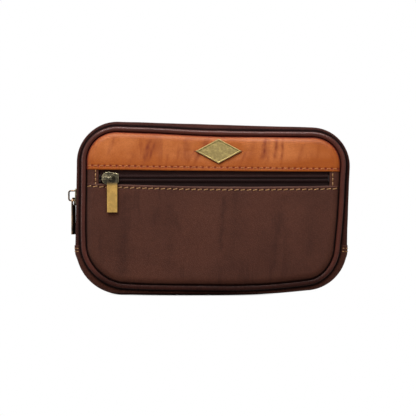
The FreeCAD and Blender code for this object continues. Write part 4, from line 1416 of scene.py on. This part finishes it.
print("one corner cut four times:", len(smoothed(np.eye(3)[:, :2], 4)), "points")

# %% Belt loops
def belt_loop(name, node, seed):
    """A strap with rounded edges that lies on the back at both ends and stands off between them."""
    low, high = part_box(node)
    pad, ramp, thickness, steps = 12 * mm, 6 * mm, 1.8 * mm, 150
    y0, y1 = back_face + thickness / 2, high.y - thickness / 2
    line = np.array([(y0, low.z), (y0, low.z + pad), (y1, low.z + pad + ramp), (y1, high.z - pad - ramp),
                     (y0, high.z - pad), (y0, high.z)])
    line = spread_evenly(smoothed(line, 4), steps)
    way = unit(np.gradient(line, axis=0))
    turn = np.linspace(0, 2 * math.pi, 48, endpoint=False)
    half = (high.x - low.x) / 2
    across = np.sign(np.cos(turn)) * np.abs(np.cos(turn)) ** 0.25 * half
    thick = np.sign(np.sin(turn)) * np.abs(np.sin(turn)) ** 0.5 * thickness / 2
    s = np.linspace(0, 1, steps)[:, None]
    from_end = np.minimum(s, 1 - s) * steps
    narrow = 1 - 0.06 * (1 - np.clip(from_end / 3, 0, 1)) ** 2
    thin = 1 - (1 - np.clip(from_end / 1.5, 0.35, 1)) ** 2
    creased = 0.25 * mm * np.exp(-((np.abs(across) - half + 2.6 * mm) / (0.5 * mm)) ** 2) * (thick > 0)
    give = 0.12 * mm * ripple(s * 60 * mm + 0 * across, across + 0 * s, 14 * mm, seed)
    lift = thick * thin - creased + give
    x = (low.x + high.x) / 2 + across * narrow
    points = np.stack([x, line[:, :1] + way[:, 1:] * lift, line[:, 1:] - way[:, :1] * lift], -1)
    faces = list(map(tuple, grid_faces(*x.shape, wrap_columns=True)))
    first_end, last_end = range(len(turn)), range((steps - 1) * len(turn), steps * len(turn))
    faces += [tuple(first_end)[::-1], tuple(last_end)]
    made = object_from(name, points.reshape(-1, 3), faces, dark_leather, "back_shell")
    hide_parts(node)


belt_loop("loop_left", "belt_loop_left", 1.0)
belt_loop("loop_right", "belt_loop_right", 2.0)
finish_node("belt_loop_rivets", slider_brass)

# %% [markdown]
# ## Lining
# Inside, thin cloth covers both boards and the gusset, and a flat pocket hangs on the back. Each is a
# single sheet held tight by its seams, with the small ripples that glue and tension leave.


def lining_sheet(name, patch, y, body, node, seed, flip=False):
    """A flat sheet of lining with faint ripples; y is its visible face."""
    x, z = patch
    rippled = y + 0.12 * mm * ripple(x, z, 20 * mm, seed)
    made = skin(name, x, rippled, z, lining_cloth, body, flip=flip)
    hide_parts(node)


front_lining_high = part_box("front_lining")[1]
pocket_low, pocket_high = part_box("inner_slip_pocket")
front_lining_inset = half_width - front_lining_high.x
back_lining_inset = 8.5 * mm
pocket_inset = half_width - pocket_high.x
lining_sheet("front_lining_sheet", whole_patch(front_lining_inset, 50, 90, even_walk),
             front_lining_high.y - 0.15 * mm, "front_shell", "front_lining", 21.0, flip=True)
lining_sheet("back_lining_sheet", whole_patch(back_lining_inset, 50, 90),
             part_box("back_lining")[0].y + 0.15 * mm, "back_shell", "back_lining", 22.0)
lining_sheet("slip_pocket_sheet", lower_patch(pocket_inset, lambda x: pocket_high.z + 0 * x, 40, 90),
             pocket_low.y + 0.1 * mm, "back_shell", "inner_slip_pocket", 23.0)

# %% [markdown]
# The gusset's linings take the leather's own section, made smaller by the layers between, and end under the
# seams, so that no light comes in round their edges. Like its leather, the bottom one rides on neither
# body.

# %% Gusset linings
lining_depth = 2.35 * mm
lining_seam_out = -8.2 * mm
lining_seam_deep = seam_depth - 1.5 * mm


def lining_section(start):
    """Half a lining's section, from a start to the seam: how far out, and how far from mid depth."""
    flat_deep = np.linspace(start, gusset_flat_half, 12)
    deep = np.concatenate([flat_deep, roll_points(8, -lining_depth)[1][1:-2]])
    turned = np.clip(deep - gusset_flat_half, 0, None)
    out = -gusset_roll + np.sqrt(np.clip((gusset_roll - lining_depth) ** 2 - turned ** 2, 0, None))
    return np.append(out, lining_seam_out), np.append(deep, lining_seam_deep)


def unrolled(out, deep, way):
    """The flat size of a lining: its section's length by its way round the pack."""
    return float(np.sum(np.hypot(np.diff(out), np.diff(deep)))), float(way[-1] - way[0])


way = upper_way[::4]
out, deep = lining_section(slot_half + 0.4 * mm)
moved = follow_seam(out[None], deep[None], way)
for side, word, body in shells:
    made = sweep(f"gusset_lining_{word}_sheet", way, moved[:, ::-side], side * deep[::-side],
                 side_lining_cloth, body)
    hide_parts("gusset_lining_" + word)

way = lower_way[8:-8:4]
half_out, half_deep = lining_section(0)
out, deep = np.append(half_out[::-1], half_out[1:]), np.append(half_deep[::-1], -half_deep[1:])
moved = follow_seam(out[None], deep[None], way)
made = sweep("bottom_lining_sheet", way, moved, deep, side_lining_cloth, None)
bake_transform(made)
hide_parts("bottom_gusset_lining")
print("bottom gusset lining", [round(side / mm) for side in unrolled(out, deep, way)], "mm")

# %% [markdown]
# The front pocket's bag is two sheets that meet at their edges, a little fuller low down than at the mouth,
# where the slider needs room.

# %% The front pocket's bag
bag_low, bag_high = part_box("front_pocket_bag")
bag_inset = half_width - bag_high.x
bag_mid, bag_half = (bag_low.y + bag_high.y) / 2, (bag_high.y - bag_low.y) / 2
bag_roll = 9 * mm
x, z = lower_patch(bag_inset, lambda x: bag_high.z + 0 * x, 60, 120)
from_mouth = bag_high.z - z
from_edge = np.minimum(depth_inside(x, z, bag_inset), from_mouth)
slack = bag_half * np.sqrt(1 - np.clip(1 - from_edge / bag_roll, 0, 1) ** 2)
for word, side in (("front", -1), ("back", 1)):
    fill = 0.8 * slack * (1 - 0.12 * (1 + ripple(x, z, 25 * mm, 30.0 + side)))
    fill *= smooth_step(from_mouth, 9 * mm, 20 * mm) if side < 0 else 1
    made = skin(f"pocket_bag_{word}_sheet", x, bag_mid + side * fill, z, lining_cloth, "front_shell",
                flip=side > 0)
    if side < 0:
        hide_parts("front_pocket_bag")
print("pocket bag", round(2 * bag_half / mm, 1), "mm deep")

# %% [markdown]
# ## The badge
# A bare diamond of cast brass. It is drawn as rings of one rounded diamond, each with its own height, from
# the middle of the field over the raised rim and down the side. The rings crowd where the height changes
# fast. A field of small pits fills the inside. The plate carries no name or mark.

# %% Badge plate
corner_softness = 0.02


def diamond_ring(share, count):
    """Points (x, z) round a diamond with softened corners, as a share of the badge's half sizes."""
    side = np.linspace(0, 1, count // 4, endpoint=False)
    side = (side - 0.1 * np.sin(2 * math.pi * side) / (2 * math.pi))[:, None]
    corners = np.array([(1.0, 0.0), (0.0, 1.0), (-1.0, 0.0), (0.0, -1.0), (1.0, 0.0)])
    ring = np.concatenate([(1 - side) * a + side * b for a, b in zip(corners, corners[1:])])
    ring = np.sign(ring) * np.sqrt(ring ** 2 + corner_softness ** 2)
    return ring * share * np.array([badge_half.x, badge_half.z])


def badge_height(share):
    """How far the plate stands out from the yoke at a share of the way to its edge."""
    field = 1.05 * mm + 0.1 * mm * (1 - share ** 2)
    rim = 0.42 * mm * smooth_step(share, 0.86, 0.885) * (1 - 0.5 * smooth_step(share, 0.96, 0.99))
    return field + rim - 1.45 * mm * smooth_step(share, 0.975, 1.0)


def badge_ring(share):
    """One ring of the plate, with the field's small pits where it lies inside the rim."""
    x, z = diamond_ring(share, ring_count).T
    pits = 0.05 * mm * ripple(x, z, 0.9 * mm, 44.0) * (share < 0.86)
    y = -front_face - badge_height(share) + 0.3 * mm - pits
    return np.stack([badge_centre.x + x, y, badge_centre.z + z], 1)


ring_count = 240
shares = np.concatenate([np.linspace(0.02, 0.84, 40), np.linspace(0.85, 0.9, 8), np.linspace(0.91, 0.95, 4),
                         np.linspace(0.955, 1.0, 12)])
rings = [badge_ring(share) for share in shares]
rings.insert(0, rings[0].mean(0, keepdims=True))
faces = [(0, 1 + j, 1 + (j + 1) % ring_count) for j in range(ring_count)]
faces += [tuple(face + 1) for face in grid_faces(len(shares), ring_count, wrap_columns=True, flip=True)]
badge_plate = object_from("badge_plate", np.concatenate(rings), faces, badge_brass, "front_shell")
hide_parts("badge")
print("badge", round(2 * badge_half.x / mm, 1), "x", round(2 * badge_half.z / mm, 1), "mm")

# %% [markdown]
# ## Cast hardware
# Sliders, crowns and pulls are die-cast, so no edge on them is sharp. Their shapes come from the
# engineering model: a copy is turned into small even voxels and relaxed a little, which rounds every edge
# by the same amount, as tumbling does. A bevel would need a clean mesh; this doesn't.

# %% Rounded copies of the metal pieces
def cast(name, node, material, body, voxel, rounds):
    """A rounded copy of a piece of the engineering model, which stands for that piece."""
    made = bpy.data.objects.new(name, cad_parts[node].data.copy())
    bpy.context.scene.collection.objects.link(made)
    remesh = made.modifiers.new("even voxels", "REMESH")
    remesh.mode, remesh.voxel_size = "VOXEL", voxel
    relax = made.modifiers.new("relax", "SMOOTH")
    relax.factor, relax.iterations = 0.5, rounds
    bpy.context.view_layer.update()
    evaluated = made.evaluated_get(bpy.context.evaluated_depsgraph_get())
    rounded = bpy.data.meshes.new_from_object(evaluated)
    made.modifiers.clear()
    made.data = rounded
    made.data.materials.clear()
    made.data.materials.append(material)
    made.data.polygons.foreach_set("use_smooth", [True] * len(made.data.polygons))
    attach(made, body)
    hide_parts(node)
    print(name, len(rounded.vertices), "points")
    return made


castings = {}
for name, node, material, body in (
        ("front_slider_casting", "front_slider_body", slider_brass, "front_slider"),
        ("front_crown_casting", "front_slider_crown", slider_brass, "front_slider"),
        ("front_pull_casting", "front_zip_pull", pull_brass, "front_pull"),
        ("main_slider_casting", "main_slider_body", slider_brass, "main_slider"),
        ("main_crown_casting", "main_slider_crown", side_brass, "main_slider"),
        ("main_pull_casting", "main_zip_pull", side_brass, "main_pull")):
    castings[node] = cast(name, node, material, body, 0.17 * mm, 5)

# %% [markdown]
# Two pulls get a touch more. The main pull never hangs quite square in its crown, so its copy is turned
# about an upright line, and one long edge swings out. On the front pull the end with the eye stays dark,
# where no thumb rubs.

# %% How the pulls hang and wear
pull_twist = math.radians(-13)
low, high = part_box("main_zip_pull")
middle = (low + high) / 2
twist = Matrix.Translation(middle) @ Matrix.Rotation(pull_twist, 4, "Z") @ Matrix.Translation(-middle)
castings["main_zip_pull"].data.transform(twist)

front_pull = castings["front_zip_pull"]
pull_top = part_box("front_zip_pull")[1].z
heights = np.array([(front_pull.matrix_world @ vertex.co).z for vertex in front_pull.data.vertices])
paint(front_pull, "tone", smooth_step(heights, pull_top - 9 * mm, pull_top - 5.5 * mm))
print(f"main pull turned by {math.degrees(pull_twist):.0f} degrees")

# %% [markdown]
# ## Camera
# The pack is looked at straight from the front, from far enough away that its sides hardly show. The lens
# is set by how much of the scene fits across the picture at the middle of the pack.

# %% Camera
stand_off = 1.2
view_width = 324.5 * mm
view_middle = (-3.1 * mm, 67.1 * mm)
camera_data = bpy.data.cameras.new("camera")
camera_data.angle = 2 * math.atan(view_width / 2 / stand_off)
camera_data.clip_start, camera_data.clip_end = 0.05, 20.0
camera = bpy.data.objects.new("camera", camera_data)
bpy.context.scene.collection.objects.link(camera)
camera.location = (view_middle[0], -stand_off, view_middle[1])
camera.rotation_euler = (math.pi / 2, 0, 0)
bpy.context.scene.camera = camera
print(f"lens angle {math.degrees(camera_data.angle):.1f} degrees")

# %% [markdown]
# ## Light and ground
# A product picture is lit by large soft panels against white. A big panel from the upper left does most of
# the work, a weaker one fills from the right, and a strip from above lights the top. Two more panels, above
# and at the left, only show as reflections: they draw the bright lines along the piping and on the side
# pull, and light nothing else.

# %% Lamps
def panel_light(name, position, size, power, tint=(1.0, 1.0, 1.0), only_shine=False):
    """A soft panel that faces the pack's middle; only_shine keeps it from lighting matt things."""
    lamp = bpy.data.lights.new(name, "AREA")
    lamp.shape, lamp.size, lamp.size_y, lamp.energy, lamp.color = "RECTANGLE", *size, power, tint
    made = bpy.data.objects.new(name, lamp)
    bpy.context.scene.collection.objects.link(made)
    made.location = position
    made.rotation_euler = (lit_middle - Vector(position)).to_track_quat("-Z", "Y").to_euler()
    made.visible_diffuse = not only_shine


lit_middle = Vector((0.0, 0.0, 0.07))
panel_light("key", (-0.55, -0.9, 0.95), (0.5, 0.5), 11.5, (1.0, 0.985, 0.96))
panel_light("fill", (0.9, -0.9, 0.35), (0.5, 0.7), 3.0, (0.97, 0.98, 1.0))
panel_light("top_strip", (0.0, -0.3, 0.8), (0.9, 0.1), 3.0)
panel_light("top_shine", (0.0, -0.4, 0.8), (0.9, 0.36), 28.0, only_shine=True)
panel_light("left_shine", (-0.85, -0.3, 0.2), (0.25, 0.5), 4.5, only_shine=True)
print("lamps:", ", ".join(lamp.name for lamp in bpy.data.lights))

# %% [markdown]
# The room is white to the camera and in reflections, but lights the pack only weakly, so that the panels
# shape it. The floor glows white except under the pack, where an oval of plain matt floor takes the shadow;
# its edge fades out.

# %% World
room_light = 0.25
world = bpy.data.worlds.new("white room")
bpy.context.scene.world = world
world.use_nodes = True
tree = world.node_tree
background = tree.nodes["Background"]
seen = tree.nodes.new("ShaderNodeLightPath").outputs
clear = calculate(tree, "MAXIMUM", seen["Is Camera Ray"], seen["Is Transmission Ray"])
clear = calculate(tree, "MAXIMUM", clear, seen["Is Glossy Ray"])
strength = calculate(tree, "MULTIPLY_ADD", clear, 1 - room_light, room_light)
plug(tree, background.inputs["Strength"], strength)
plug(tree, background.inputs["Color"], (1.0, 1.0, 1.0, 1.0))
print("the room lights the pack at", room_light)

# %% Floor
shadow_left = 0.016
shadow_half_width, shadow_half_depth = 0.066, 0.03
matt_white, bounce_grey = (0.86, 0.86, 0.86, 1.0), (0.35, 0.34, 0.33, 1.0)
floor_material, tree, shader = new_material("floor", Roughness=0.9, Specular_IOR_Level=0.1)
for_bounce = tree.nodes.new("ShaderNodeLightPath").outputs["Is Diffuse Ray"]
plug(tree, shader.inputs["Base Color"], blend_colours(tree, for_bounce, matt_white, bounce_grey))
where = add(tree, "SeparateXYZ", Vector=place_on_surface(tree)).outputs
off_x = calculate(tree, "DIVIDE", calculate(tree, "ADD", where["X"], shadow_left), shadow_half_width)
off_y = calculate(tree, "DIVIDE", where["Y"], shadow_half_depth)
squares = [calculate(tree, "POWER", off, 2.0) for off in (off_x, off_y)]
from_pack = calculate(tree, "SQRT", calculate(tree, "ADD", *squares))
clear = calculate(tree, "SUBTRACT", stretch(tree, from_pack, 0.5, 1.05), for_bounce)
glow = add(tree, "Emission", Strength=1.0)
mix = add(tree, "MixShader")
plug(tree, mix.inputs[0], calculate(tree, "MAXIMUM", clear, 0.0))
plug(tree, mix.inputs[1], shader.outputs[0])
plug(tree, mix.inputs[2], glow.outputs[0])
plug(tree, tree.nodes["Material Output"].inputs["Surface"], mix.outputs[0])

lines = 25
reach = np.linspace(-3.0, 3.0, lines)
x, y = np.meshgrid(reach, reach)
points = np.stack([x, y, 0 * x - 0.1 * mm], -1).reshape(-1, 3)
floor_mesh = bpy.data.meshes.new("floor")
floor_mesh.from_pydata([tuple(p) for p in points], [], [tuple(f) for f in grid_faces(lines, lines)])
floor_mesh.materials.append(floor_material)
floor = bpy.data.objects.new("floor", floor_mesh)
bpy.context.scene.collection.objects.link(floor)
bpy.context.scene.view_settings.view_transform = "Standard"
print(f"shadow {2 * shadow_half_width / mm:.0f} mm wide; stage set")
